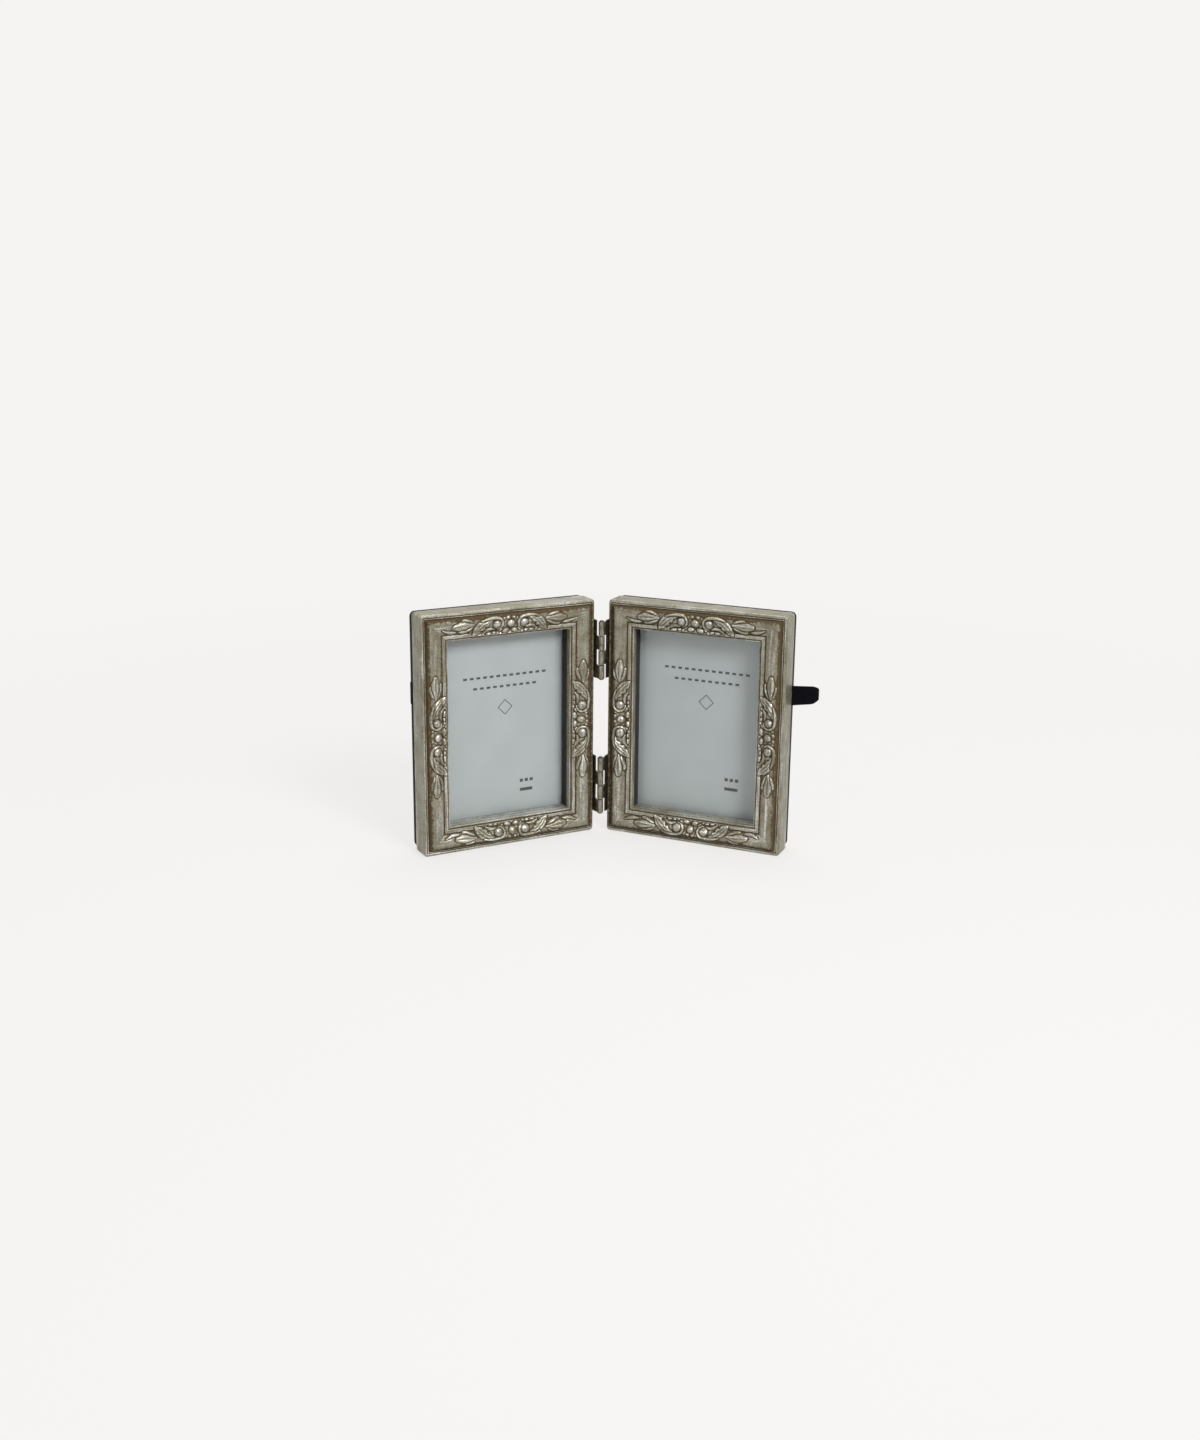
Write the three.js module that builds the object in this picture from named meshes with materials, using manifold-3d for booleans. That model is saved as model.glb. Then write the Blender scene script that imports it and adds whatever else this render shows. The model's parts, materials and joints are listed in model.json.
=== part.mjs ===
// Hinged double photo frame: two cast panels with scrolled relief, joined by two butt hinges.
// Millimetres, +Z up, and the fronts look towards -Y. Each panel is drawn in a frame of its own:
// X runs outward from the hinge axis, Y runs from the hinge axis towards the back, Z runs up.

import * as THREE from 'three';
import { mergeVertices } from 'three/addons/utils/BufferGeometryUtils.js';
import Module from 'manifold-3d';

const wasm = await Module();
wasm.setup();

// Picture and the layers that hold it
const pictureWidth = 50.8;
const pictureHeight = 76.2;
const glassThickness = 0.9;
const cardThickness = 0.3;
const padThickness = 0.9;
const stackGap = 0.1; // between the layers of the stack
const rebateClearance = 0.5; // round the picture in the rebate
const padClearance = 0.25; // round the pad in the rebate

// Moulding, from its outer edge inward to the sight edge
const rimWidth = 2.1;
const rimRound = 1.1;
const quirkWidth = 0.9; // two fine grooves beside a thin line, between rim and band
const quirkDepth = 0.4;
const quirkLine = 0.08; // thin line below the rim face
const bandWidth = 5.6;
const bandRise = 1.45; // crest of the band above the rim
const crestOffset = 1.35; // crest of the band from the rim
const bandFall = 0.95; // from the crest down to the fillet
const bandFallPower = 1.7;
const sinkWidth = 0.35; // groove between band and fillet
const sinkDepth = 0.35;
const filletWidth = 1.3;
const filletStep = 0.5;
const sightWidth = 0.85;
const sightWall = 6.2; // depth of the sight edge in front of the glass
const sideLap = 1.0; // sight edge over the picture at the sides
const endLap = 3.3; // sight edge over the picture at top and bottom
const cornerRound = 1.3;
const backChamfer = 0.3;
const innerRound = 0.12;

// Scrolled relief on the band, as distances from the middle of a rail
const eyeOffset = 5.3; // middle of a volute
const eyeRadius = 1.35;
const flowerRadius = 1.3;
const beadHeight = 0.95;
const scrollRadius = 2.15; // rib round a volute's eye
const scrollStart = 130; // degrees round the eye, from the rail's outward run
const scrollEnd = 270;
const petalLength = 1.5; // half sizes of a petal
const petalWidth = 0.9;
const petalSpread = 1.6; // paired petals from the middle of the flower
const leafTip = 14.3; // end of the main leaf
const budTip = 22.7; // end of the relief
const reliefLine = 3.5; // middle of the relief from the rim
const reliefSpread = 2.35; // middle of the relief to the tips beside the fillet
const ribWidth = 1.15; // half width at a rib's foot
const ribHeight = 0.75;
const ribFoot = 0.6; // foot of a rib under the band's surface

// Back of each panel
const boardThickness = 1.5;
const coverThickness = 0.5;
const coverInset = 0.25; // cover inside the casting's outline, sides and top
const coverFoot = 1.2; // lower edge of the cover above the base
const coverRound = 1.2;
const boardGap = 0.1; // board inside its cover

// Ribbon pull tabs
const ribbonWidth = 8;
const ribbonThickness = 0.3; // two layers
const ribbonReach = 10; // beyond the panel's side
const ribbonHeight = 59.6; // middle of the ribbon above the base
const ribbonLoop = 1.3; // thickness of the open fold
const ribbonTipRise = 1.3; // lower edge drawn in at the fold
const ribbonTipDrop = 0.4; // upper edge drawn in at the fold
const ribbonTipRound = 1.6;
const ribbonFold = 9; // length of the left tab folded behind

// Butt hinges
const hingeLength = 22;
const hingeInset = 7.8; // from the panel's end
const barrelRadius = 1.15;
const pinRadius = 0.6;
const pinClearance = 0.06;
const pinHeadHeight = 0.35;
const knucklesPerLeaf = 2;
const knuckleGap = 0.16;
const leafThickness = 0.55;
const leafFlatGap = 1.1; // between two leaves with the panels opened flat
const leafOnCasting = 7; // leaf on the casting's side face
const leafNotch = 2.6; // cut back beside the other leaf's knuckles
const leafSeat = 0.1; // leaf to casting
const closedGap = 2; // between the tops of two reliefs, panels closed

// Hinge screws
const screwsPerLeaf = 2;
const screwHeadRadius = 1.05;
const screwShankRadius = 0.5;
const screwLength = 5;
const screwClearance = 0.1;
const screwSlotWidth = 0.35;
const screwSlotDepth = 0.3;

// Pose of the panels at rest: turn of each from the plane that they share when flat
const panelTurn = THREE.MathUtils.degToRad(26);

// Sizes that follow
const railWidth = rimWidth + bandWidth + sinkWidth + filletWidth + sightWidth;
const panelWidth = pictureWidth - 2 * sideLap + 2 * railWidth;
const panelHeight = pictureHeight - 2 * endLap + 2 * railWidth;
const crestFromEdge = rimWidth + crestOffset;
const bandEnd = rimWidth + bandWidth;
const filletStart = bandEnd + sinkWidth;
const filletEnd = filletStart + filletWidth;
const filletLevel = bandRise - bandFall;
const sightLevel = filletLevel - filletStep;
const shelfLevel = sightLevel - sightWall;
const backGap = ribbonThickness + 2 * stackGap;
const stackDepth = glassThickness + cardThickness + padThickness + 4 * stackGap;
const castingDepth = stackDepth - backGap - shelfLevel;
const rebateHalfWidth = pictureWidth / 2 + rebateClearance;
const rebateHalfHeight = pictureHeight / 2 + rebateClearance;
const reliefRise = bandRise + Math.max(ribHeight, beadHeight);
const rimPlane = reliefRise + closedGap / 2; // rim face behind the hinge axis
const sideFace = leafFlatGap / 2 + leafThickness + leafSeat; // casting's side from the hinge axis
const panelCentre = sideFace + panelWidth / 2;
const outerSide = sideFace + panelWidth;
const castingBack = rimPlane + castingDepth;
const glassFront = rimPlane - shelfLevel + stackGap;
const cardFront = glassFront + glassThickness + stackGap;
const padFront = cardFront + cardThickness + stackGap;
const boardFront = castingBack + backGap;
const coverRise = (coverFoot - coverInset) / 2; // middle of the cover above the panel's middle
const coverWidth = panelWidth - 2 * coverInset;
const coverHeight = panelHeight - coverInset - coverFoot;
const coverBack = boardFront + boardThickness + boardGap + coverThickness;
const ribbonFront = castingBack + stackGap;
const leafReach = rimPlane + leafOnCasting;
const screwLine = rimPlane + leafOnCasting / 2;
const knuckleCount = 2 * knucklesPerLeaf;
const knucklePitch = hingeLength / knuckleCount;

// Facets
const cornerSteps = 3;
const rimSteps = 3;
const bandSteps = 7;
const barrelSteps = 8;
const screwSteps = 8;
const foldSteps = 4;
const beadSteps = 8;
const petalSteps = 6;
const turnSteps = 4;

const mergeTolerance = 1e-4;
const overrun = 1; // cutters run past the faces that they cut

// Solids

function isInsideOut(position, index) {
  const corner = (i) => new THREE.Vector3().fromArray(position, index[i] * 3);
  let volume = 0;
  for (let i = 0; i < index.length; i += 3) {
    volume += corner(i).dot(corner(i + 1).cross(corner(i + 2)));
  }
  return volume < 0;
}

function solidOf(geometry) {
  const bare = geometry.clone();
  bare.deleteAttribute('normal');
  bare.deleteAttribute('uv');
  const merged = mergeVertices(bare, mergeTolerance);
  const vertProperties = merged.attributes.position.array;
  const triVerts = Uint32Array.from(merged.index.array);
  if (isInsideOut(vertProperties, triVerts)) {
    triVerts.reverse();
  }
  return new wasm.Manifold(new wasm.Mesh({ numProp: 3, vertProperties, triVerts }));
}

function geometryOf(solid) {
  const mesh = solid.getMesh();
  const indexed = new THREE.BufferGeometry();
  indexed.setAttribute('position', new THREE.BufferAttribute(mesh.vertProperties, mesh.numProp));
  indexed.setIndex(new THREE.BufferAttribute(mesh.triVerts, 1));
  const geometry = indexed.toNonIndexed();
  geometry.computeVertexNormals();
  return geometry;
}

function meshGeometry(points, index) {
  const geometry = new THREE.BufferGeometry();
  const values = points.flatMap((point) => point.toArray());
  geometry.setAttribute('position', new THREE.Float32BufferAttribute(values, 3));
  geometry.setIndex(index);
  return geometry;
}

// Closed skin over rings of equal counts, each ring joined to the next and the last to the first
function loftLoop(rings) {
  const count = rings[0].length;
  const index = [];
  rings.forEach((ring, r) => {
    const here = r * count;
    const next = ((r + 1) % rings.length) * count;
    ring.forEach((point, i) => {
      const j = (i + 1) % count;
      index.push(here + i, next + i, next + j);
      index.push(here + i, next + j, here + j);
    });
  });
  return meshGeometry(rings.flat(), index);
}

// Closed skin over rings of equal counts that ends in a point at each end
function loftSpindle(rings, startTip, endTip) {
  const count = rings[0].length;
  const start = rings.length * count;
  const end = start + 1;
  const index = [];
  for (let i = 0; i < count; i += 1) {
    const j = (i + 1) % count;
    const last = start - count;
    index.push(start, j, i);
    index.push(end, last + i, last + j);
    for (let here = 0; here < last; here += count) {
      index.push(here + i, here + j, here + count + j);
      index.push(here + i, here + count + j, here + count + i);
    }
  }
  return meshGeometry([...rings.flat(), startTip, endTip], index);
}

function roundedRectangle(width, height, radius) {
  const x = width / 2 - radius;
  const y = height / 2 - radius;
  const quarter = Math.PI / 2;
  const shape = new THREE.Shape();
  shape.absarc(x, y, radius, 0, quarter);
  shape.absarc(-x, y, radius, quarter, 2 * quarter);
  shape.absarc(-x, -y, radius, 2 * quarter, 3 * quarter);
  shape.absarc(x, -y, radius, 3 * quarter, 4 * quarter);
  return shape;
}

// Outline in X and Z, given thickness from Y = 0 towards the back
function uprightPlate(shape, thickness) {
  const settings = { depth: thickness, bevelEnabled: false, curveSegments: cornerSteps };
  const geometry = new THREE.ExtrudeGeometry(shape, settings);
  return geometry.rotateX(Math.PI / 2).translate(0, thickness, 0);
}

// Outline in X and Y, given height along Z about its middle
function standingStrip(shape, height, curveSegments = barrelSteps) {
  const settings = { depth: height, bevelEnabled: false, curveSegments };
  return new THREE.ExtrudeGeometry(shape, settings).translate(0, 0, -height / 2);
}

// Round piece along X, from a profile of [distance along X, radius]
function turnedAlongX(profile) {
  const points = profile.map(([along, radius]) => new THREE.Vector2(radius, along));
  return new THREE.LatheGeometry(points, screwSteps).rotateZ(-Math.PI / 2);
}

// Materials

function finish(color, roughness, metalness, opacity = 1) {
  return new THREE.MeshStandardMaterial({
    color, roughness, metalness, opacity, transparent: opacity < 1,
  });
}

const antiqueSilver = () => finish(0x9b937c, 0.42, 0.65);
const clearGlass = () => finish(0xe4ecec, 0.04, 0, 0.3);
const paleCard = () => finish(0xb2b9b9, 0.75, 0);
const greyBoard = () => finish(0x77706a, 0.9, 0);
const blackVelvet = () => finish(0x121214, 0.95, 0);
const blackRibbon = () => finish(0x161618, 0.6, 0);
const hingeSteel = () => finish(0x6f6a5f, 0.38, 0.9);
const screwSteel = () => finish(0x85806f, 0.35, 0.9);

// Moulding of the casting

// Height of the band over the rim plane, at a distance from the panel's outer edge
function bandHeight(fromEdge) {
  if (fromEdge <= crestFromEdge) {
    const back = Math.min(1, (crestFromEdge - fromEdge) / crestOffset);
    return bandRise * Math.sqrt(1 - back * back);
  }
  const along = Math.min(1, (fromEdge - crestFromEdge) / (bandEnd - crestFromEdge));
  return bandRise - bandFall * along ** bandFallPower;
}

// Moulding section as [distance from the outer edge, height over the rim plane]
function mouldingSection() {
  const section = [[backChamfer, -castingDepth], [0, backChamfer - castingDepth]];
  for (let i = 0; i <= rimSteps; i += 1) {
    const angle = (i / rimSteps) * Math.PI / 2;
    section.push([rimRound * (1 - Math.cos(angle)), rimRound * (Math.sin(angle) - 1)]);
  }
  const quirkAt = (share) => rimWidth - quirkWidth * (1 - share);
  section.push([quirkAt(0), 0], [quirkAt(0.25), -quirkDepth]);
  section.push([quirkAt(0.5), -quirkLine], [quirkAt(0.75), -quirkDepth]);
  for (let i = 0; i <= bandSteps; i += 1) {
    const rise = (1 - Math.cos((i / bandSteps) * Math.PI)) / 2;
    const fromEdge = rimWidth + bandWidth * rise;
    section.push([fromEdge, bandHeight(fromEdge)]);
  }
  section.push([bandEnd + sinkWidth / 2, filletLevel - sinkDepth], [filletStart, filletLevel]);
  section.push([filletEnd, filletLevel], [filletEnd, sightLevel]);
  section.push([railWidth, sightLevel], [railWidth, shelfLevel]);
  return section;
}

// Rounded rectangle in X and Z at a height over the rim plane, centred on the panel
function frameRing(halfWidth, halfHeight, round, height) {
  const ring = [];
  [[1, 1], [-1, 1], [-1, -1], [1, -1]].forEach(([right, up], quarter) => {
    for (let i = 0; i <= cornerSteps; i += 1) {
      const angle = (quarter + i / cornerSteps) * Math.PI / 2;
      const x = right * (halfWidth - round) + round * Math.cos(angle);
      const z = up * (halfHeight - round) + round * Math.sin(angle);
      ring.push(new THREE.Vector3(x, rimPlane - height, z));
    }
  });
  return ring;
}

function mouldingSolid() {
  const rings = mouldingSection().map(([fromEdge, height]) => {
    const round = Math.max(cornerRound - fromEdge, innerRound);
    return frameRing(panelWidth / 2 - fromEdge, panelHeight / 2 - fromEdge, round, height);
  });
  rings.push(frameRing(rebateHalfWidth, rebateHalfHeight, innerRound, shelfLevel));
  rings.push(frameRing(rebateHalfWidth, rebateHalfHeight, innerRound, -castingDepth));
  return solidOf(loftLoop(rings));
}

// Scrolled relief, drawn flat: X along the rail, Y from the rail's relief line to the sight edge,
// Z over the band's surface

function bead(along, radius) {
  const dome = new THREE.SphereGeometry(radius, beadSteps, beadSteps / 2);
  return dome.rotateX(Math.PI / 2).scale(1, 1, beadHeight / radius).translate(along, 0, 0);
}

function petal(along, across) {
  const dome = new THREE.SphereGeometry(1, petalSteps, petalSteps / 2);
  return dome.rotateX(Math.PI / 2).scale(petalLength, petalWidth, ribHeight).translate(along, across, 0);
}

// Rib with a ridged section that swells from a point, is fullest at a share of its run and tapers
function rib(path, steps, fullAt = 0.5) {
  const points = path.map(([along, across]) => new THREE.Vector3(along, across, 0));
  const curve = new THREE.CatmullRomCurve3(points);
  const power = Math.log(0.5) / Math.log(fullAt);
  const rings = [];
  for (let i = 1; i < steps; i += 1) {
    const place = i / steps;
    const swell = Math.sqrt(Math.sin(Math.PI * place ** power));
    const middle = curve.getPoint(place);
    const heading = curve.getTangent(place);
    const beside = new THREE.Vector3(-heading.y, heading.x, 0).multiplyScalar(ribWidth * swell);
    const foot = middle.clone().setZ(-ribFoot);
    const ridge = middle.clone().setZ(ribHeight * swell);
    rings.push([foot.clone().add(beside), ridge, foot.clone().sub(beside)]);
  }
  return loftSpindle(rings, points[0].setZ(-ribFoot), points[points.length - 1].setZ(-ribFoot));
}

// Rib path round a volute's eye
function turnRound(radius, from, to) {
  const path = [];
  for (let i = 0; i <= turnSteps; i += 1) {
    const turn = THREE.MathUtils.degToRad(from + (to - from) * (i / turnSteps));
    path.push([eyeOffset + radius * Math.cos(turn), radius * Math.sin(turn)]);
  }
  return path;
}

// One half of a rail's relief: volute, fluted leaf and end bud
function reliefHalf() {
  const leafRun = leafTip - eyeOffset;
  const budRun = budTip - leafTip;
  const leafAt = (share, across) => [eyeOffset + share * leafRun, across * reliefSpread];
  const budAt = (share, across) => [leafTip + share * budRun, across * reliefSpread];
  const scroll = turnRound(scrollRadius, scrollStart, scrollEnd);
  scroll.push(leafAt(0.36, -0.72), leafAt(0.68, -0.28), leafAt(0.88, 0.4), leafAt(1, 1));
  const flute = [leafAt(0.14, -0.3), leafAt(0.4, -0.05), leafAt(0.62, 0.4), leafAt(0.76, 1)];
  const frond = [leafAt(0.22, 0.3), leafAt(0.36, 0.5), leafAt(0.48, 0.76), leafAt(0.52, 1.05)];
  const budBack = [budAt(-0.05, -0.2), budAt(0.3, -0.58), budAt(0.7, -0.42), budAt(1, 0.15)];
  const budFront = [budAt(-0.05, 0.1), budAt(0.36, 0.6), budAt(0.74, 0.56), budAt(1, 0.15)];
  return [
    bead(eyeOffset, eyeRadius),
    rib(scroll, 10, 0.66),
    rib(flute, 5),
    rib(frond, 4),
    petal(eyeOffset, reliefSpread),
    rib(budBack, 5, 0.45),
    rib(budFront, 5, 0.5),
  ];
}

function reliefPieces() {
  const half = reliefHalf();
  const otherHalf = half.map((piece) => piece.clone().scale(-1, 1, 1));
  const flower = [
    bead(0, flowerRadius),
    petal(0, petalWidth - reliefSpread),
    petal(-petalSpread, reliefSpread - petalWidth),
    petal(petalSpread, reliefSpread - petalWidth),
  ];
  return [...half, ...otherHalf, ...flower];
}

// A flat relief piece laid over the band of one rail, the bottom one or a number of quarter turns on
function laidOnRail(piece, quarterTurn) {
  const laid = piece.clone();
  const position = laid.attributes.position;
  const reach = (quarterTurn % 2 === 0 ? panelHeight : panelWidth) / 2;
  for (let i = 0; i < position.count; i += 1) {
    const fromEdge = rimWidth + reliefLine + position.getY(i);
    const height = bandHeight(fromEdge) + position.getZ(i);
    position.setXYZ(i, position.getX(i), rimPlane - height, fromEdge - reach);
  }
  return laid.rotateY(quarterTurn * Math.PI / 2);
}

function reliefSolids() {
  const solids = [];
  for (let quarterTurn = 0; quarterTurn < 4; quarterTurn += 1) {
    reliefPieces().forEach((piece) => solids.push(solidOf(laidOnRail(piece, quarterTurn))));
  }
  return solids;
}

const carvedMoulding = reliefSolids().reduce((whole, piece) => whole.add(piece), mouldingSolid());

// Hinges

const hingeMiddles = {
  lower: hingeInset + hingeLength / 2,
  upper: panelHeight - hingeInset - hingeLength / 2,
};

function screwHeights(hingeMiddle) {
  const pitch = hingeLength / screwsPerLeaf;
  return Array.from({ length: screwsPerLeaf }, (unused, i) => (
    hingeMiddle + (i - (screwsPerLeaf - 1) / 2) * pitch
  ));
}

// Countersunk screw along X, its head's face at X = 0, and the hole for it with a clearance
function screwProfile(clearance) {
  const shank = screwShankRadius + clearance;
  const head = screwHeadRadius + clearance;
  return [
    [0, 0], [0, head], [leafThickness, shank], [screwLength + clearance, shank],
    [screwLength + clearance + shank, 0],
  ];
}

function screwSolid() {
  const slotReach = 2 * screwHeadRadius + overrun;
  const slot = new THREE.BoxGeometry(2 * screwSlotDepth, screwSlotWidth, slotReach);
  return solidOf(turnedAlongX(screwProfile(0))).subtract(solidOf(slot));
}

const screwHead = leafFlatGap / 2; // face of the leaf from the hinge axis
const screwGeometry = geometryOf(screwSolid());
const screwHole = turnedAlongX(screwProfile(screwClearance));

// Holes for the screws of one panel, in the panel's frame
function screwHoles(side) {
  const places = Object.values(hingeMiddles).flatMap(screwHeights);
  return places.map((height) => {
    const hole = screwHole.clone().translate(screwHead, screwLine, height);
    return solidOf(hole.scale(side, 1, 1));
  });
}

// Barrel of a leaf and the strip that it is rolled from, seen from above
function knuckleShape() {
  const inner = leafFlatGap / 2;
  const outer = inner + leafThickness;
  const start = Math.acos(outer / barrelRadius);
  const end = Math.acos(inner / barrelRadius) - 2 * Math.PI;
  const shape = new THREE.Shape();
  shape.absarc(0, 0, barrelRadius, start, end, true);
  shape.lineTo(inner, leafReach);
  shape.lineTo(outer, leafReach);
  const bore = new THREE.Path();
  bore.absarc(0, 0, pinRadius + pinClearance, 0, 2 * Math.PI);
  shape.holes.push(bore);
  return shape;
}

// Leaf whose knuckles start at the first or the second place from the top
function leafSolid(side, firstKnuckle, hingeMiddle) {
  const depth = leafReach - leafNotch;
  const plate = new THREE.BoxGeometry(leafThickness, depth, hingeLength);
  plate.translate(leafFlatGap / 2 + leafThickness / 2, leafNotch + depth / 2, hingeMiddle);
  let leaf = solidOf(plate.scale(side, 1, 1));
  for (let i = firstKnuckle; i < knuckleCount; i += 2) {
    const height = hingeMiddle + hingeLength / 2 - (i + 0.5) * knucklePitch;
    const knuckle = standingStrip(knuckleShape(), knucklePitch - knuckleGap);
    leaf = leaf.add(solidOf(knuckle.translate(0, 0, height).scale(side, 1, 1)));
  }
  return screwHoles(side).reduce((whole, hole) => whole.subtract(hole), leaf);
}

// Pin with a low domed head at each end
function pinGeometry() {
  const half = hingeLength / 2;
  const headRadius = (pinRadius + barrelRadius) / 2;
  const profile = [
    [0, -half - pinHeadHeight], [headRadius * 0.7, -half - pinHeadHeight * 0.8], [headRadius, -half],
    [pinRadius, -half], [pinRadius, half], [headRadius, half],
    [headRadius * 0.7, half + pinHeadHeight * 0.8], [0, half + pinHeadHeight],
  ];
  const points = profile.map(([radius, along]) => new THREE.Vector2(radius, along));
  const pin = new THREE.LatheGeometry(points, screwSteps).rotateX(Math.PI / 2);
  return geometryOf(solidOf(pin));
}

// Backs

// Velvet wrapped round the back and the edges of the board
function coverGeometry() {
  const depth = coverBack - boardFront;
  const inside = 2 * coverThickness;
  const pocketRound = coverRound - coverThickness;
  const outer = uprightPlate(roundedRectangle(coverWidth, coverHeight, coverRound), depth);
  const pocket = uprightPlate(
    roundedRectangle(coverWidth - inside, coverHeight - inside, pocketRound),
    depth - coverThickness + overrun,
  );
  return geometryOf(solidOf(outer).subtract(solidOf(pocket.translate(0, -overrun, 0))));
}

function boardGeometry() {
  const trim = 2 * (coverThickness + boardGap);
  const round = coverRound - coverThickness;
  return uprightPlate(roundedRectangle(coverWidth - trim, coverHeight - trim, round), boardThickness);
}

function padGeometry() {
  const width = 2 * (rebateHalfWidth - padClearance);
  const height = 2 * (rebateHalfHeight - padClearance);
  return uprightPlate(roundedRectangle(width, height, coverRound), padThickness);
}

// Ribbon in the gap behind the casting, its two layers opening to a fold beyond the side
const ribbonRoot = panelCentre + rebateHalfWidth + rebateClearance;

// Outline of the fold seen from above: a drop that opens from a start to a round end at the tip
function addFold(path, start, half, round) {
  const turn = outerSide + ribbonReach - ribbonLoop / 2;
  const pull = (turn - start) / 2;
  path.lineTo(start, -half);
  path.bezierCurveTo(start + pull, -half, turn - pull, -round, turn, -round);
  path.absarc(turn, 0, round, -Math.PI / 2, Math.PI / 2);
  path.bezierCurveTo(turn - pull, round, start + pull, half, start, half);
}

function openRibbonGeometry() {
  const layer = ribbonThickness / 2;
  const hollowStart = outerSide + ribbonReach / 4;
  const shape = new THREE.Shape();
  shape.moveTo(ribbonRoot, layer);
  shape.lineTo(ribbonRoot, -layer);
  addFold(shape, outerSide, layer, ribbonLoop / 2);
  const hollow = new THREE.Path();
  hollow.moveTo(hollowStart, 0);
  addFold(hollow, hollowStart, 0, ribbonLoop / 2 - layer);
  shape.holes.push(hollow);
  const strip = standingStrip(shape, ribbonWidth, foldSteps);
  const half = ribbonWidth / 2;
  const tip = outerSide + ribbonReach;
  const face = new THREE.Shape();
  face.moveTo(ribbonRoot - overrun, -half - overrun);
  face.lineTo(ribbonRoot - overrun, half + overrun);
  face.lineTo(outerSide, half);
  face.lineTo(tip - ribbonTipRound, half - ribbonTipDrop);
  face.quadraticCurveTo(tip, half - ribbonTipDrop, tip, half - ribbonTipDrop - ribbonTipRound);
  face.lineTo(tip, ribbonTipRise + ribbonTipRound - half);
  face.quadraticCurveTo(tip, ribbonTipRise - half, tip - ribbonTipRound, ribbonTipRise - half);
  face.lineTo(outerSide, -half);
  const trimmer = uprightPlate(face, 2 * ribbonLoop).translate(0, -ribbonLoop, 0);
  return geometryOf(solidOf(strip).intersect(solidOf(trimmer)));
}

// Ribbon turned round the edge of the back and laid against the velvet
function foldedRibbonGeometry(side) {
  const edge = outerSide - coverInset + stackGap;
  const outer = edge + ribbonThickness;
  const inner = edge - ribbonFold;
  const back = coverBack + stackGap;
  const shape = new THREE.Shape();
  shape.moveTo(ribbonRoot, ribbonFront);
  shape.lineTo(edge, ribbonFront);
  shape.absarc(edge, ribbonFront + ribbonThickness, ribbonThickness, -Math.PI / 2, 0);
  shape.lineTo(outer, back);
  shape.absarc(edge, back, ribbonThickness, 0, Math.PI / 2);
  shape.lineTo(inner, back + ribbonThickness);
  shape.lineTo(inner, back);
  shape.lineTo(edge, back);
  shape.lineTo(edge, ribbonFront + ribbonThickness);
  shape.lineTo(ribbonRoot, ribbonFront + ribbonThickness);
  return geometryOf(solidOf(standingStrip(shape, ribbonWidth, foldSteps).scale(side, 1, 1)));
}

// Assembly

const assembly = new THREE.Group();

function addPiece(group, name, geometry, material, position = [0, 0, 0]) {
  const mesh = new THREE.Mesh(geometry, material);
  mesh.name = name;
  mesh.position.set(...position);
  group.add(mesh);
}

function addPanel(name, side) {
  const group = new THREE.Group();
  group.rotation.z = -side * panelTurn;
  assembly.add(group);
  const middle = side * panelCentre;
  const centreHeight = panelHeight / 2;
  const casting = screwHoles(side).reduce(
    (whole, hole) => whole.subtract(hole),
    carvedMoulding.translate([middle, 0, centreHeight]),
  );
  const picture = new THREE.Shape().setFromPoints([
    new THREE.Vector2(-pictureWidth / 2, -pictureHeight / 2),
    new THREE.Vector2(pictureWidth / 2, -pictureHeight / 2),
    new THREE.Vector2(pictureWidth / 2, pictureHeight / 2),
    new THREE.Vector2(-pictureWidth / 2, pictureHeight / 2),
  ]);
  const at = (y, rise = 0) => [middle, y, centreHeight + rise];
  const backAt = at(boardFront, coverRise);
  addPiece(group, `${name}_frame`, geometryOf(casting), antiqueSilver());
  addPiece(group, `${name}_glass`, uprightPlate(picture, glassThickness), clearGlass(), at(glassFront));
  addPiece(group, `${name}_card`, uprightPlate(picture, cardThickness), paleCard(), at(cardFront));
  addPiece(group, `${name}_filler_pad`, padGeometry(), greyBoard(), at(padFront));
  addPiece(group, `${name}_back_board`, boardGeometry(), greyBoard(), backAt);
  addPiece(group, `${name}_velvet_cover`, coverGeometry(), blackVelvet(), backAt);
  return group;
}

const left = addPanel('left', -1);
const right = addPanel('right', 1);

addPiece(left, 'left_ribbon_tab', foldedRibbonGeometry(-1), blackRibbon(), [0, 0, ribbonHeight]);
addPiece(right, 'right_ribbon_tab', openRibbonGeometry(), blackRibbon(), [
  0, ribbonFront + ribbonThickness / 2, ribbonHeight,
]);

Object.entries(hingeMiddles).forEach(([place, height]) => {
  [['left', left, -1, 1], ['right', right, 1, 0]].forEach(([name, group, side, firstKnuckle]) => {
    const leaf = geometryOf(leafSolid(side, firstKnuckle, height));
    addPiece(group, `${place}_${name}_leaf`, leaf, hingeSteel());
    screwHeights(height).forEach((screwHeight, i) => {
      const turned = screwGeometry.clone();
      if (side < 0) {
        turned.rotateZ(Math.PI);
      }
      const position = [side * screwHead, screwLine, screwHeight];
      addPiece(group, `${place}_${name}_screw_${i + 1}`, turned, screwSteel(), position);
    });
  });
  addPiece(left, `${place}_pin`, pinGeometry(), hingeSteel(), [0, 0, height]);
});

// The part stands on Z = 0, with the middle of its box over the origin
assembly.updateMatrixWorld(true);
const box = new THREE.Box3().setFromObject(assembly, true);
const middle = box.getCenter(new THREE.Vector3());
assembly.position.set(-middle.x, -middle.y, -box.min.z);

export default assembly;
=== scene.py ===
import json
import math
import bmesh
import bpy
import numpy as np
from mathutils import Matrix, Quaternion, Vector


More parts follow.
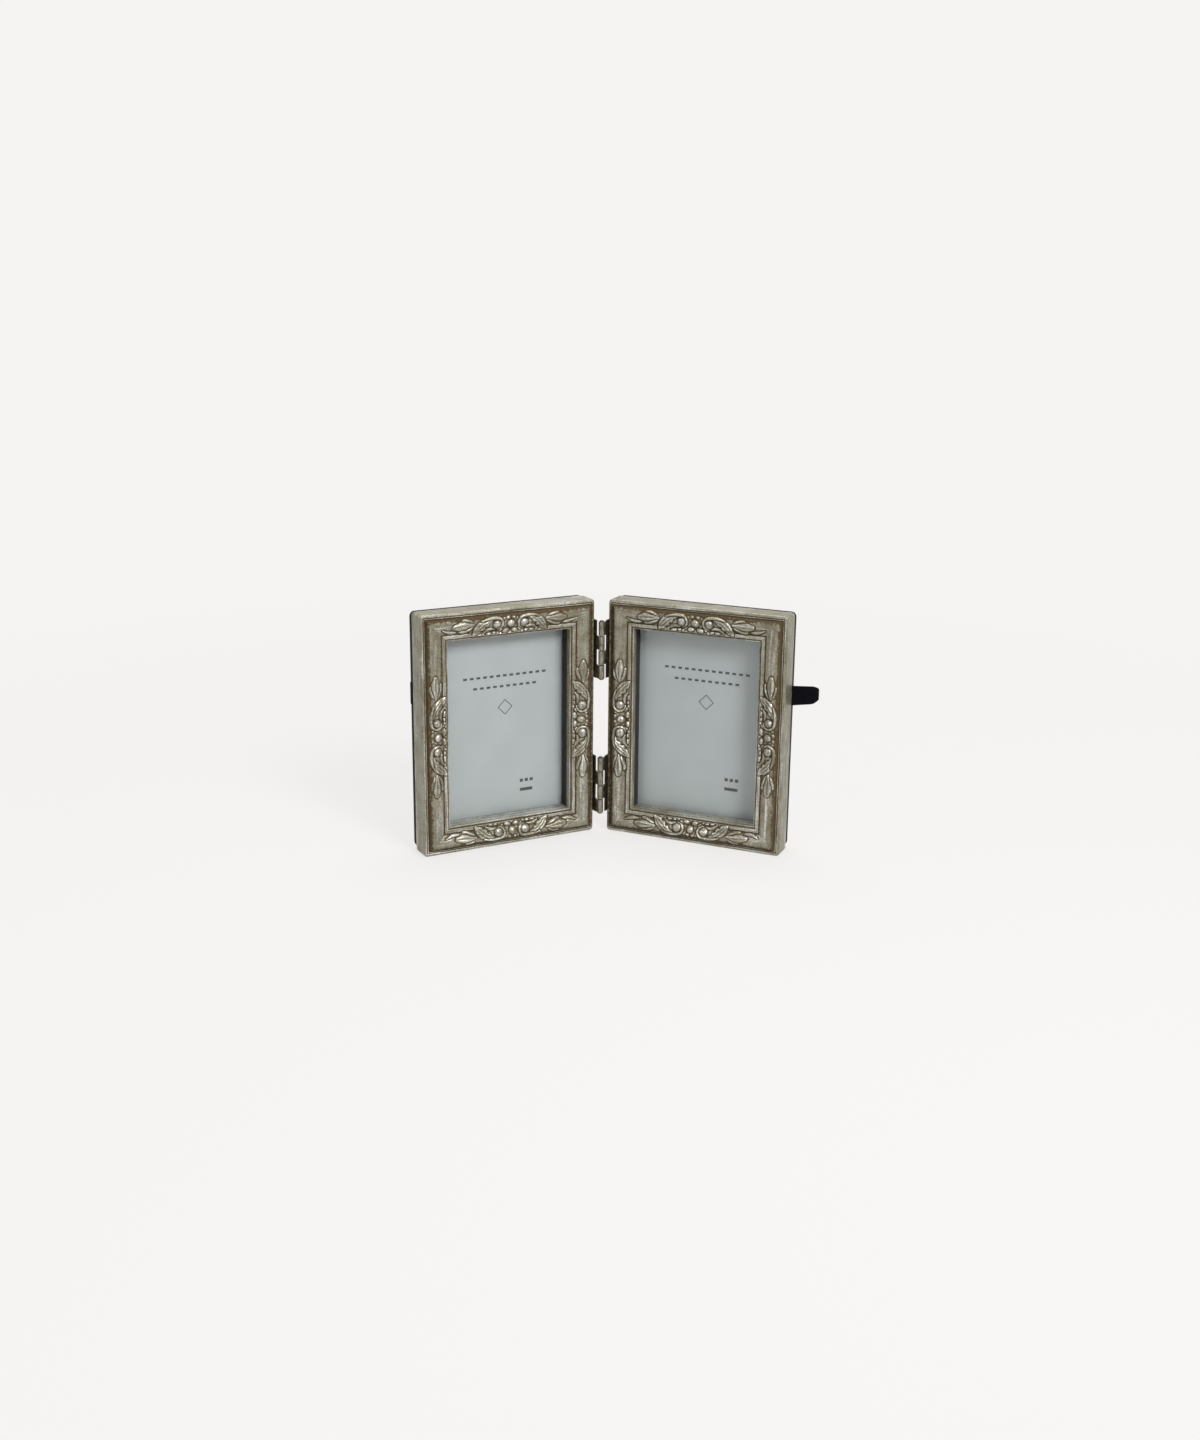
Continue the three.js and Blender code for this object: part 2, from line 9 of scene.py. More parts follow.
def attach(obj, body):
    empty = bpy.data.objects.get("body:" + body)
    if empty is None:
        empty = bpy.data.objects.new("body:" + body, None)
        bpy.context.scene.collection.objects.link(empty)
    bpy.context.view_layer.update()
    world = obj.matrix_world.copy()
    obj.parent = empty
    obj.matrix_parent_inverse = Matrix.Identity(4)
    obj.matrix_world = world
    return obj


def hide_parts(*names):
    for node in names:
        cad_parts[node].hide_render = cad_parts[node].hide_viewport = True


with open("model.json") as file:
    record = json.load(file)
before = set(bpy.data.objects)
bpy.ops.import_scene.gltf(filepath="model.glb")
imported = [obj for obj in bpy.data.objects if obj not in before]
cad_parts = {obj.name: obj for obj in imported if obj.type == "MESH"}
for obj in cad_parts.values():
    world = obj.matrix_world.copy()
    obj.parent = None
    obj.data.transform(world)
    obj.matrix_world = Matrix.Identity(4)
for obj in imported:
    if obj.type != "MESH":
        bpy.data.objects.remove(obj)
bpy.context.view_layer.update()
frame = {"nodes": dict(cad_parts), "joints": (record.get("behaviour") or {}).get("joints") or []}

mm = 0.001
scene = bpy.context.scene
print("double frame: solids loaded")


# Panel frames: millimetres out from the hinge pins, back from them and up
sides = {"left": -1, "right": 1}
joints = {joint["name"]: joint for joint in frame["joints"]}
hingeSpot = np.array([*joints["panel_fold"]["pos_m"][:2], 0.0])
railWays = np.array([(0, -1), (1, 0), (0, 1), (-1, 0)], float)  # bottom, outer, top and hinge-side rail


def panelBasis(side):
    back = Vector(joints[side + "_back_lift"]["axis"]).normalized()
    out = Vector((back.y, -back.x, 0)) * sides[side]
    return np.array([out, back, (0, 0, 1)])


def localBox(side, node):
    mesh = frame["nodes"][node].data
    flat = np.empty(len(mesh.vertices) * 3)
    mesh.vertices.foreach_get("co", flat)
    local = (flat.reshape(-1, 3) - hingeSpot) @ panelBasis(side).T / mm
    return local.min(axis=0), local.max(axis=0)


def linkedObject(name, data):
    made = bpy.data.objects.new(name, data)
    scene.collection.objects.link(made)
    return made


def meshObject(name, side, points, faces, materials, smooth=True):
    mesh = bpy.data.meshes.new(name)
    if side == "left":
        faces = [face[::-1] for face in faces]  # the left panel's frame is a mirror image
    world = np.asarray(points, float) * mm @ panelBasis(side) + hingeSpot
    mesh.from_pydata(world.tolist(), [], faces)
    mesh.polygons.foreach_set("use_smooth", [smooth] * len(mesh.polygons))
    for material in materials:
        mesh.materials.append(material)
    mesh.update()
    return linkedObject(name, mesh)


def settle(piece, body, slot, *nodes):
    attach(piece, body)
    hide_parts(*nodes)
    return piece


# Outlines and skins
def ramp(value, start, width):
    return np.clip((value - start) / width, 0, 1)


def arcPoints(middle, radius, turns):
    return [(middle[0] + radius * math.cos(turn), middle[1] + radius * math.sin(turn)) for turn in turns]


# Unit headings and distances from the start, at every point of a path
def pathRun(path):
    heading = np.gradient(path, axis=0)
    heading /= np.linalg.norm(heading, axis=1)[:, None]
    return heading, np.concatenate([[0], np.cumsum(np.linalg.norm(np.diff(path, axis=0), axis=1))])


def gridFaces(rows, columns, closeRows=False):
    faces = []
    for row in range(rows if closeRows else rows - 1):
        here = row * columns
        after = (row + 1) % rows * columns
        for column in range(columns):
            beside = (column + 1) % columns
            faces.append((here + column, here + beside, after + beside, after + column))
    return faces


# Closed skin over rings of equal counts, with a cap on the first and on the last
def cappedSkin(rings):
    rows, count = rings.shape[:2]
    faces = gridFaces(rows, count)
    faces.append(tuple(range(count))[::-1])
    faces.append(tuple(range((rows - 1) * count, rows * count)))
    return rings.reshape(-1, 3), [face[::-1] for face in faces]


# Outline round a panel in x and z: each rail with the given places along it, then a round corner
def panelRing(half, radius, runs, cornerSteps):
    turns = np.arange(1, cornerSteps)[:, None] / cornerSteps * math.pi / 2
    points = []
    for k, outward in enumerate(railWays):
        heading = railWays[(k + 1) % 4]
        along = half[k % 2]
        away = half[1 - k % 2]
        points.append(away * outward + runs[k % 2][:, None] * heading)
        middle = (away - radius) * outward + (along - radius) * heading
        points.append(middle + radius * (np.cos(turns) * outward + np.sin(turns) * heading))
    return np.vstack(points)


# Rings inside a box's outline, each with its inset and y; counts are the places along level and upright rails
def insetRings(low, high, profile, cornerRound, counts, leastRound=0.01, cornerSteps=6):
    middle = (low + high) / 2
    rings = []
    for inset, y in profile:
        half = (high - low)[::2] / 2 - inset
        radius = max(cornerRound - inset, leastRound)
        runs = [np.linspace(radius - reach, reach - radius, count) for reach, count in zip(half, counts)]
        ring = panelRing(half, radius, runs, cornerSteps) + middle[::2]
        rings.append(np.insert(ring, 1, y, axis=1))
    return np.array(rings)


# Node helpers for the materials
def startMaterial(name):
    material = bpy.data.materials.new(name)
    material.use_nodes = True
    return material, material.node_tree, material.node_tree.nodes["Principled BSDF"]


def fill(tree, node, inputs):
    for key, value in inputs.items():
        if isinstance(value, bpy.types.NodeSocket):
            tree.links.new(value, node.inputs[key])
        else:
            node.inputs[key].default_value = value
    return node


def addNode(tree, kind, inputs, **settings):
    made = tree.nodes.new("ShaderNode" + kind)
    for key, value in settings.items():
        setattr(made, key, value)
    return fill(tree, made, inputs)


def objectPlace(tree):
    return addNode(tree, "TexCoord", {}).outputs["Object"]


def stretched(tree, place, scale):
    return addNode(tree, "Mapping", {"Vector": place, "Scale": scale}).outputs[0]


def noise(tree, place, scale, detail=3.0, roughness=0.5, distortion=0.0):
    names = ("Vector", "Scale", "Detail", "Roughness", "Distortion")
    inputs = dict(zip(names, (place, scale, detail, roughness, distortion)))
    return addNode(tree, "TexNoise", inputs).outputs["Fac"]


def span(tree, value, low, high, toLow=0.0, toHigh=1.0):
    inputs = {"Value": value, "From Min": low, "From Max": high, "To Min": toLow, "To Max": toHigh}
    return addNode(tree, "MapRange", inputs, interpolation_type="SMOOTHSTEP").outputs["Result"]


def maths(tree, operation, first, second):
    return addNode(tree, "Math", {0: first, 1: second}, operation=operation).outputs[0]


def plus(tree, value, share, base):
    return addNode(tree, "Math", {0: value, 1: share, 2: base}, operation="MULTIPLY_ADD").outputs[0]


def mixColour(tree, share, first, second):
    return addNode(tree, "Mix", {0: share, 6: first, 7: second}, data_type="RGBA").outputs[2]


def mixShader(tree, share, first, second):
    return addNode(tree, "MixShader", {0: share, 1: first.outputs[0], 2: second.outputs[0]})


def pointValue(tree, name):
    return addNode(tree, "Attribute", {}, attribute_name=name).outputs["Fac"]


def vectorMaths(tree, operation, *inputs):
    return addNode(tree, "VectorMath", dict(enumerate(inputs)), operation=operation).outputs


def bump(tree, height, strength, distance, under=None):
    inputs = {"Height": height, "Strength": strength, "Distance": distance}
    if under is not None:
        inputs["Normal"] = under
    return addNode(tree, "Bump", inputs).outputs["Normal"]


# Tone between two colours, and a height that stands up from the surface
def dress(tree, shader, look, tone, height):
    fill(tree, shader, {
        "Base Color": mixColour(tree, span(tree, tone, *look["toneSpan"]), *look["tones"]),
        "Normal": bump(tree, height, *look["relief"]),
        **look["sockets"],
    })


# Plain stock, with a fine and a broad grain in its tone
def grainedStock(name, look):
    material, tree, shader = startMaterial(name)
    place = objectPlace(tree)
    grain = noise(tree, place, *look["grain"])
    clouds = noise(tree, place, *look["clouds"])
    tone = plus(tree, grain, look["grainShare"], maths(tree, "MULTIPLY", clouds, look["cloudShare"]))
    dress(tree, shader, look, tone, grain)
    return material


# Antique silver: rubbed silver on high places, olive grey between, brown in the hollows, with painted
# highlights and painted shade carried by the same masks
silverFinish = {
    "body": (0.255, 0.24, 0.182, 1),
    "shade": (0.15, 0.13, 0.08, 1),
    "rubbed": (0.65, 0.65, 0.615, 1),
    "brown": (0.07, 0.048, 0.023, 1),
    "wallShade": (0.026, 0.029, 0.028, 1),  # painted shade on the deep walls by the glass
    "patches": (170.0, 5.0, 0.6, 0.6),  # noise: scale, detail, roughness, distortion
    "mottle": (1050.0, 4.0, 0.6),
    "grain": (2300.0, 3.0, 0.6),
    "wipe": (950.0, 3.0),
    "wipeStretch": 0.1,
    "mottleInBody": 0.9,
    "bodySpan": (0.3, 0.76),
    "sparkle": 1.3,
    "streaks": 1.5,
    "rubUneven": 1.2,
    "rubSpan": (0.04, 1.04),
    "dirtAndShadeUneven": 1.1,
    "dirtAndShadeSpan": (0.22, 0.75),
    "wallShadeSpan": (1.1, 1.9),
    "metal": (0.0, 0.8, 0.6, 0.0),  # dirt and painted shade from and to, value at each
    "shine": (0.0, 1.0, 0.5, 0.1),
    "roughness": (0.0, 1.0, 0.34, 0.65),
    "grainRough": (0.3, 0.7, 0.0, 0.14),
    "rubPolish": -0.1,
    "stipple": (0.75, 0.00016),  # bump: strength, depth
    "pits": (0.4, 0.00006),
}


# The finish was wiped along each rail, so its streaks stand on the upright rails and lie on the others
def wipeMarks(tree, place):
    look = silverFinish
    short = look["wipeStretch"]
    lying = noise(tree, stretched(tree, place, (short, short, 1)), *look["wipe"])
    standing = noise(tree, stretched(tree, place, (1, 1, short)), *look["wipe"])
    wiped = plus(tree, maths(tree, "SUBTRACT", standing, lying), pointValue(tree, "upright"), lying)
    return maths(tree, "SUBTRACT", wiped, 0.5)


def antiqueSilver():
    material, tree, shader = startMaterial("antiqueSilver")
    look = silverFinish
    place = objectPlace(tree)
    patches, mottle, grain = [noise(tree, place, *look[key]) for key in ("patches", "mottle", "grain")]
    hollowAndShade = pointValue(tree, "hollowAndShade")
    speck = maths(tree, "SUBTRACT", mottle, 0.5)
    cloudy = plus(tree, speck, look["mottleInBody"], patches)
    body = mixColour(tree, span(tree, cloudy, *look["bodySpan"]), look["body"], look["shade"])
    sparkle = plus(tree, maths(tree, "SUBTRACT", grain, 0.5), look["sparkle"], speck)
    streaky = plus(tree, wipeMarks(tree, place), look["streaks"], sparkle)
    # rubbed silver on high places; the same mask carries the painted highlights and painted light set in the
    # crest values
    rubAndHighlight = span(tree, plus(tree, streaky, look["rubUneven"], pointValue(tree, "crest")), *look["rubSpan"])
    silver = mixColour(tree, rubAndHighlight, body, look["rubbed"])
    # dirt in the hollows, and painted shade on the hinge side, the band's outer slope and, in a dark colour,
    # the deep walls
    dirtAndShade = span(tree, plus(tree, speck, look["dirtAndShadeUneven"], hollowAndShade), *look["dirtAndShadeSpan"])
    grimeAndShade = mixColour(tree, span(tree, hollowAndShade, *look["wallShadeSpan"]), look["brown"], look["wallShade"])
    rough = maths(tree, "ADD", span(tree, grain, *look["grainRough"]), span(tree, dirtAndShade, *look["roughness"]))
    fill(tree, shader, {
        "Base Color": mixColour(tree, dirtAndShade, silver, grimeAndShade),
        "Metallic": span(tree, dirtAndShade, *look["metal"]),
        "Specular IOR Level": span(tree, dirtAndShade, *look["shine"]),
        "Roughness": plus(tree, rubAndHighlight, look["rubPolish"], rough),
        "Normal": bump(tree, grain, *look["pits"], bump(tree, mottle, *look["stipple"])),
    })
    return material


# Casting: section from the back round the outer edge, over the band and into the rebate
castingSizes = {
    "depth": 8.2,  # rim face to back
    "backLand": 3.0,
    "backChamfer": 0.3,
    "rimRound": 0.7,
    "rimGlint": 0.08,
    "rimWidth": 2.1,  # outer edge to the band's foot
    "quirkWidth": 1.1,  # two fine grooves with a thin line between them
    "quirkDepth": 0.4,
    "lineDrop": 0.02,
    "bandWidth": 5.6,
    "bandRise": 1.45,
    "crestOffset": 1.35,
    "bandFall": 0.95,
    "fallPower": 1.7,
    "sinkWidth": 0.35,  # groove between band and fillet
    "sinkDepth": 0.35,
    "filletWidth": 1.3,
    "filletStep": 0.5,
    "sightWidth": 0.85,
    "sightWall": 6.2,
    "wallLines": (0.9, 3.2),  # fine grooves round the wall
    "lineWidth": 0.9,
    "lineDepth": 0.12,
    "wallFoot": 5.2,
    "rebateGap": 0.5,  # rebate beyond the glass, each way
    "arris": 0.16,  # rounding of worn edges
    "seam": 0.02,  # between the parts of the section
    "cornerRound": 1.3,
    "innerRound": 0.12,
    "edgeSteps": 4,
    "rimSteps": 6,
    "bandStep": 0.18,
    "filletSteps": 6,
    "outsideStep": 0.9,
    "insideStep": 0.8,
    "alongStep": 0.25,
    "carvedHalf": 23.2,  # half of the finely meshed stretch of a rail
    "plainStep": 0.6,
    "cornerSteps": 13,
    "steadyInset": 0.3,  # the places along a rail spread out only beyond this, in from the sight edge
    "arcSteps": 5,
    "softTop": 0.22,
    "outerFall": 0.29,  # the tops lie this much lower beside the rim
    "outerFallSpan": (4.6, -1.6),
    "footDirtAndShade": (0.75, 1.25),  # patina at the foot of the band with painted shade on its outer slope, and its reach
    "sinkDirt": (0.8, 0.3),
    "faceHighlight": (0.2, 3.2, 1.35),  # painted highlight along the band's face, its line and its reach
}


def bandHeight(t):
    size = castingSizes
    crest = size["rimWidth"] + size["crestOffset"]
    rising = ramp(t, crest, -size["crestOffset"])
    falling = ramp(t, crest, size["bandWidth"] - size["crestOffset"])
    rise = size["bandRise"] * np.sqrt(1 - rising ** 2)
    return np.where(t < crest, rise, size["bandRise"] - size["bandFall"] * falling ** size["fallPower"])


# Corners of the section are (t, n, rounding, hollow, crest): t runs in from the outer edge, n out of the
# rim's face, hollow gathers dirt and painted shade, and crest is rubbed and carries painted highlights
def roundedRun(corners, steps):
    run = []
    for before, corner, after in zip(corners, corners[1:], corners[2:]):
        spot = np.array(corner[:2])
        ways = [np.array(other[:2]) - spot for other in (before, after)]
        lengths = [np.linalg.norm(way) for way in ways]
        reach = min(corner[2], 0.45 * min(lengths))
        start, end = [spot + way / length * reach for way, length in zip(ways, lengths)]
        for share in np.linspace(0, 1, steps):
            bent = (1 - share) ** 2 * start + 2 * share * (1 - share) * spot + share ** 2 * end
            run.append((*bent, corner[3], corner[4]))
    return run


def filledRun(run, gap):
    filled = [run[0]]
    for before, after in zip(run, run[1:]):
        count = max(1, math.ceil(math.dist(before[:2], after[:2]) / gap))
        for i in range(1, count):
            share = i / count
            fade = abs(2 * share - 1)  # dirt and rubbing keep to the edges of a flat
            spot = [a + (b - a) * share for a, b in zip(before, after)]
            filled.append((spot[0], spot[1], spot[2] * fade, spot[3] * fade))
        filled.append(after)
    return filled


def outsideRun(bandStart):
    size = castingSizes
    back = -size["depth"]
    chamfer = size["backChamfer"]
    bend = size["rimRound"]
    quirk = size["quirkWidth"]
    quirkStart = bandStart - quirk
    run = roundedRun([
        (size["backLand"], back, 0, 0, 0),
        (chamfer, back, 0.2, 0, 0.2),
        (0, back + chamfer, 0.2, 0, 0.2),
        (0, -bend, 0, 0, 0),
    ], 3)
    for turn in np.arange(size["rimSteps"]) / size["rimSteps"] * math.pi / 2:
        glint = size["rimGlint"] * math.sin(2 * turn)
        run.append((bend * (1 - math.cos(turn)), bend * (math.sin(turn) - 1), 0, glint))
    run += roundedRun([
        (bend, 0, 0, 0, 0),
        (quirkStart, 0, 0.1, 0.1, 0.4),
        (quirkStart + 0.25 * quirk, -size["quirkDepth"], 0.08, 1, 0),
        (quirkStart + 0.52 * quirk, -size["lineDrop"], 0.12, 0.05, 0.4),
        (quirkStart + 0.78 * quirk, -size["quirkDepth"], 0.08, 1, 0),
        (bandStart, 0.1, 0, 0, 0),
    ], size["edgeSteps"])
    return filledRun(run, size["outsideStep"])


def castingSection():
    size = castingSizes
    bandStart = size["rimWidth"]
    bandEnd = bandStart + size["bandWidth"]
    low = size["bandRise"] - size["bandFall"]
    step = low - size["filletStep"]
    fillet = bandEnd + size["sinkWidth"]
    sight = fillet + size["filletWidth"]
    lap = sight + size["sightWidth"]
    footDirtAndShade, footReach = size["footDirtAndShade"]
    sinkDirt, sinkReach = size["sinkDirt"]
    faceHighlight, faceLine, faceReach = size["faceHighlight"]
    across = np.linspace(bandStart + size["seam"], bandEnd, int(size["bandWidth"] / size["bandStep"]))
    carved = []
    for t, n in zip(across, bandHeight(across)):
        fromFoot = t - bandStart
        # painted shade on the band's outer slope, over the patina at its foot
        dirtAndShade = footDirtAndShade * math.exp(-(fromFoot / footReach) ** 2)
        dirtAndShade += sinkDirt * math.exp(-(bandEnd - t) / sinkReach)
        # painted highlight along the band's face
        rubAndHighlight = faceHighlight * math.exp(-((fromFoot - faceLine) / faceReach) ** 2)
        carved.append((t, n, min(1, dirtAndShade), rubAndHighlight))
    for share in (0.25, 0.5, 0.75):
        dip = size["sinkDepth"] * (1 - abs(2 * share - 1))
        carved.append((bandEnd + share * size["sinkWidth"], low - dip, 1, 0))
    for t in np.linspace(fillet, sight - size["arris"] - size["seam"], size["filletSteps"]):
        clear = min(1, (t - fillet) / 0.25)
        carved.append((t, low, 0.4 - 0.25 * clear, 0.1 + 0.15 * clear))
    inside = roundedRun([
        (fillet, low, 0, 0, 0),
        (sight, low, size["arris"], 0.2, 0.3),
        (sight, step, 0.12, 1, 0),
        (lap, step, size["arris"], 0.2, 0.35),
        (lap, step - 1.2, 0, 0, 0),
    ], size["edgeSteps"])
    wall = []
    for drop in size["wallLines"]:
        wall.append((lap, step - drop, 0.05, 0.15))
        wall.append((lap - size["lineDepth"], step - drop - size["lineWidth"] / 2, 0.5, 0))
        wall.append((lap, step - drop - size["lineWidth"], 0.05, 0.15))
    wall += [(lap, step - drop, 0.05, 0.15) for drop in (size["wallFoot"], size["sightWall"])]
    return outsideRun(bandStart), carved, filledRun(inside, size["insideStep"]), wall


# Scrolled relief, as height over the band: s along the rail from its middle, t from the outer edge
reliefSizes = {
    "flower": (0.0, 5.75),
    "flowerRound": 1.4,
    "beadHeight": 1.0,
    "eye": (5.3, 5.55),
    "eyeRound": 1.6,
    "curlTurns": (262, 95),  # degrees round the eye
    "curlRadii": (1.95, 2.4),
    "bladeHeight": 0.8,
    "bladeLobes": 4,
    "budRoot": 14.4,
    "budTip": 22.7,
    "budHeight": 0.78,
    "lobeLine": 8.5,
    "lobeSize": (0.42, 0.4),  # half width and height
    "leafFullness": 2.6,
    "moat": 0.62,  # depth of the cut round each leaf
    "moatWidth": 0.26,
    "ground": 0.3,  # ground between the leaves lies this much below the band
    "groundOuter": (2.4, 0.5),  # ramps at the edges of the ground: start and width
    "groundInner": (7.8, -0.4),
    "groundEnd": (1.5, -3.5),  # beyond the bud's tip
    "sunk": 0.2,  # the leaves' edges lie this much below the band
    "handwork": 0.13,  # how far the carving strays from one rail to the next
    "railPhase": 1.7,
    "leftPhase": 0.9,
}


# Each shape gives its height and how far a place lies outside of it
def dome(s, t, middle, radii, height, turn=0.0):
    along = s - middle[0]
    across = t - middle[1]
    p = (along * math.cos(turn) + across * math.sin(turn)) / radii[0]
    q = (across * math.cos(turn) - along * math.sin(turn)) / radii[1]
    away = np.hypot(p, q)
    return height * np.sqrt(np.clip(1 - away ** 2, 0, None)), (away - 1) * min(radii)


def smoothPath(points, steps=24):
    points = np.array(points, float)
    padded = np.vstack([2 * points[0] - points[1], points, 2 * points[-1] - points[-2]])
    path = []
    for a, b, c, d in zip(padded, padded[1:], padded[2:], padded[3:]):
        for share in np.arange(steps) / steps:
            path.append(0.5 * (
                2 * b + (c - a) * share + (2 * a - 5 * b + 4 * c - d) * share ** 2
                + (3 * b - a - 3 * c + d) * share ** 3
            ))
    path.append(points[-1])
    return np.array(path)


# Leaf along a path: half widths and heights run from root to tip, flutes divide its face, and scallop
# cuts lobes into one edge
def leaf(s, t, points, halfWidths, heights, flutes=1, depth=0.5, scallop=0.0):
    path = smoothPath(points)
    nearest = np.argmin((s[..., None] - path[:, 0]) ** 2 + (t[..., None] - path[:, 1]) ** 2, axis=-1)
    heading, run = pathRun(path)
    share = run[nearest] / run[-1]
    offS = s - path[nearest, 0]
    offT = t - path[nearest, 1]
    signed = heading[nearest, 0] * offT - heading[nearest, 1] * offS
    half = np.interp(share, np.linspace(0, 1, len(halfWidths)), halfWidths)
    top = np.interp(share, np.linspace(0, 1, len(heights)), heights)
    wavy = 1 + scallop * (np.abs(np.sin(reliefSizes["bladeLobes"] * math.pi * share)) - 0.6)
    half = np.where(signed > 0, half * wavy, half)
    v = np.sign(signed) * np.hypot(offS, offT) / half
    body = np.sqrt(np.clip(1 - np.abs(v) ** reliefSizes["leafFullness"], 0, None))
    if flutes > 1:
        phase = (np.clip(v, -0.999, 0.999) + 1) / 2 * flutes
        ridge = np.sqrt(np.clip(1 - (2 * (phase - np.floor(phase)) - 1) ** 2, 0, None))
        body = body * (1 - depth + depth * ridge)
    return top * body, (np.abs(v) - 1) * half


# Lays shapes one over the other, each with a cut round its edge
def layered(base, shapes):
    size = reliefSizes
    covered = np.zeros(base.shape, bool)
    for height, gap in shapes:
        cut = size["moat"] * np.exp(-(np.clip(gap, 0, None) / size["moatWidth"]) ** 2)
        base = np.where(gap <= 0, height, np.maximum(base - cut, np.minimum(base, -size["ground"])))
        covered |= gap <= 0
    return base, covered


# Sprig beyond the bud, on the top and bottom rails
def sprig(a, t, level):
    path = [(21.4, 7.0), (23.4, 7.0), (25.0, 6.7), (26.7, 6.0)]
    height, gap = leaf(a, t, path, (0.3, 0.65, 0.65, 0.45, 0.15), (0.5, 0.65, 0.65, 0.5))
    return height, np.where(level, gap, np.inf)


# Bud of three lobes: two flare out from its root, and the middle one lies over them
def budShapes(a, t):
    size = reliefSizes
    root = size["budRoot"]
    flare = size["budHeight"] * np.array([0.5, 0.85, 0.95, 0.6])
    heart = size["budHeight"] * np.array([0.5, 0.9, 1.05, 1, 0.6])
    outer = [(root, 4.8), (16.2, 4.1), (17.6, 3.6), (18.6, 3.4)]
    inner = [(root, 5.2), (16.4, 6.1), (18.0, 6.8), (19.2, 7.2)]
    middle = [(root, 5.0), (16.8, 5.0), (19.2, 5.1), (size["budTip"] - 1.0, 5.2)]
    return [
        leaf(a, t, outer, (0.45, 1.0, 1.0, 0.7), flare, flutes=2, depth=0.4),
        leaf(a, t, inner, (0.45, 1.05, 1.1, 0.75), flare, flutes=2, depth=0.4),
        leaf(a, t, middle, (0.45, 0.95, 1.55, 1.6, 1.0), heart, flutes=2, depth=0.6),
    ]


# Small lobes beside the fillet, and the petals round the flower
def flowerShapes(a, t):
    lobes = ((10.4, 0.0, 0.6, 0.4), (8.4, 0.15, 1.1, 0.1), (6.3, 0.05, 0.8, -0.1), (4.8, 0.2, 0.6, 0.3))
    halfWidth, height = reliefSizes["lobeSize"]
    shapes = []
    for s, drop, reach, lean in lobes:
        shapes.append(dome(a, t, (s, reliefSizes["lobeLine"] + drop), (reach, halfWidth), height, lean))
    frond = [(6.3, 7.3), (7.8, 7.1), (9.4, 7.5), (10.6, 8.2)]
    return shapes + [
        leaf(a, t, frond, (0.3, 0.6, 0.55, 0.2), (0.4, 0.5, 0.45, 0.3)),
        dome(a, t, (3.7, 7.8), (0.8, 0.55), 0.45, 0.5),
        dome(a, t, (1.75, 8.25), (1.3, 0.85), 0.75, 0.15),
        dome(a, t, (2.5, 3.8), (0.6, 0.5), 0.35, 0.5),
        dome(a, t, (1.1, 3.5), (0.7, 0.55), 0.4, 0.3),
    ]


# Blade with its root hollow, the curl that runs round the eye into the blade, the eye and the flower
def scrollShapes(a, t):
    size = reliefSizes
    eye = size["eye"]
    turns = np.radians(np.linspace(*size["curlTurns"], 9))
    radii = np.linspace(*size["curlRadii"], 9)
    curl = [(eye[0] + r * math.cos(w), eye[1] - r * math.sin(w)) for w, r in zip(turns, radii)]
    curl += [(7.2, 3.0), (9.3, 3.25), (11.5, 3.9)]
    curlHeights = size["bladeHeight"] * np.array([0.5, 0.9, 1, 1.05, 1.05, 1, 0.95, 0.8])
    blade = [(6.2, 3.3), (8.0, 3.6), (10.2, 4.7), (12.3, 6.5), (14.2, 8.7)]
    bladeWidths = (0.4, 1.0, 1.5, 1.8, 1.6, 0.7)
    bladeHeights = size["bladeHeight"] * np.array([0.7, 1, 1, 1, 0.95, 0.75])
    return [
        leaf(a, t, blade, bladeWidths, bladeHeights, flutes=3, depth=0.75, scallop=0.4),
        dome(a, t, (6.6, 4.3), (1.0, 0.45), -0.35, 0.5),
        leaf(a, t, curl, (0.25, 0.42, 0.5, 0.5, 0.5, 0.5, 0.4, 0.2), curlHeights),
        dome(a, t, eye, [size["eyeRound"]] * 2, size["beadHeight"]),
        dome(a, t, size["flower"], [size["flowerRound"]] * 2, size["beadHeight"]),
    ]


def reliefHeight(s, t, phase, level):
    size = reliefSizes
    stray = size["handwork"]
    a = np.abs(s + stray * np.sin(0.7 * s + phase))
    t = t + stray * np.sin(0.45 * s + 2 * phase)
    past, fade = size["groundEnd"]
    inside = ramp(a, size["budTip"] + past, fade)
    inside = inside * ramp(t, *size["groundOuter"]) * ramp(t, *size["groundInner"])
    shapes = [sprig(a, t, level)] + budShapes(a, t) + flowerShapes(a, t) + scrollShapes(a, t)
    return layered(-size["ground"] * inside, shapes)


# Each pass blurs one way, then the other
def blurred(values, passes):
    for unused in range(2 * passes):
        padded = np.pad(values, ((1, 1), (0, 0)), "edge")
        values = ((padded[:-2] + 2 * values + padded[2:]) / 4).T
    return values


# Places along one rail: close together under the carving, wider beyond it, then on to the corner
def railRun(half, steady, radius):
    size = castingSizes
    carved = np.arange(-size["carvedHalf"], size["carvedHalf"], size["alongStep"])
    plainCount = int(round((steady - carved[-1]) / size["plainStep"]))
    plain = np.linspace(carved[-1], steady, plainCount + 1)[1:]
    corner = steady + (half - radius - steady) * np.arange(1, size["cornerSteps"] + 1) / size["cornerSteps"]
    return np.concatenate([-corner[::-1], -plain[::-1], carved, plain, corner])


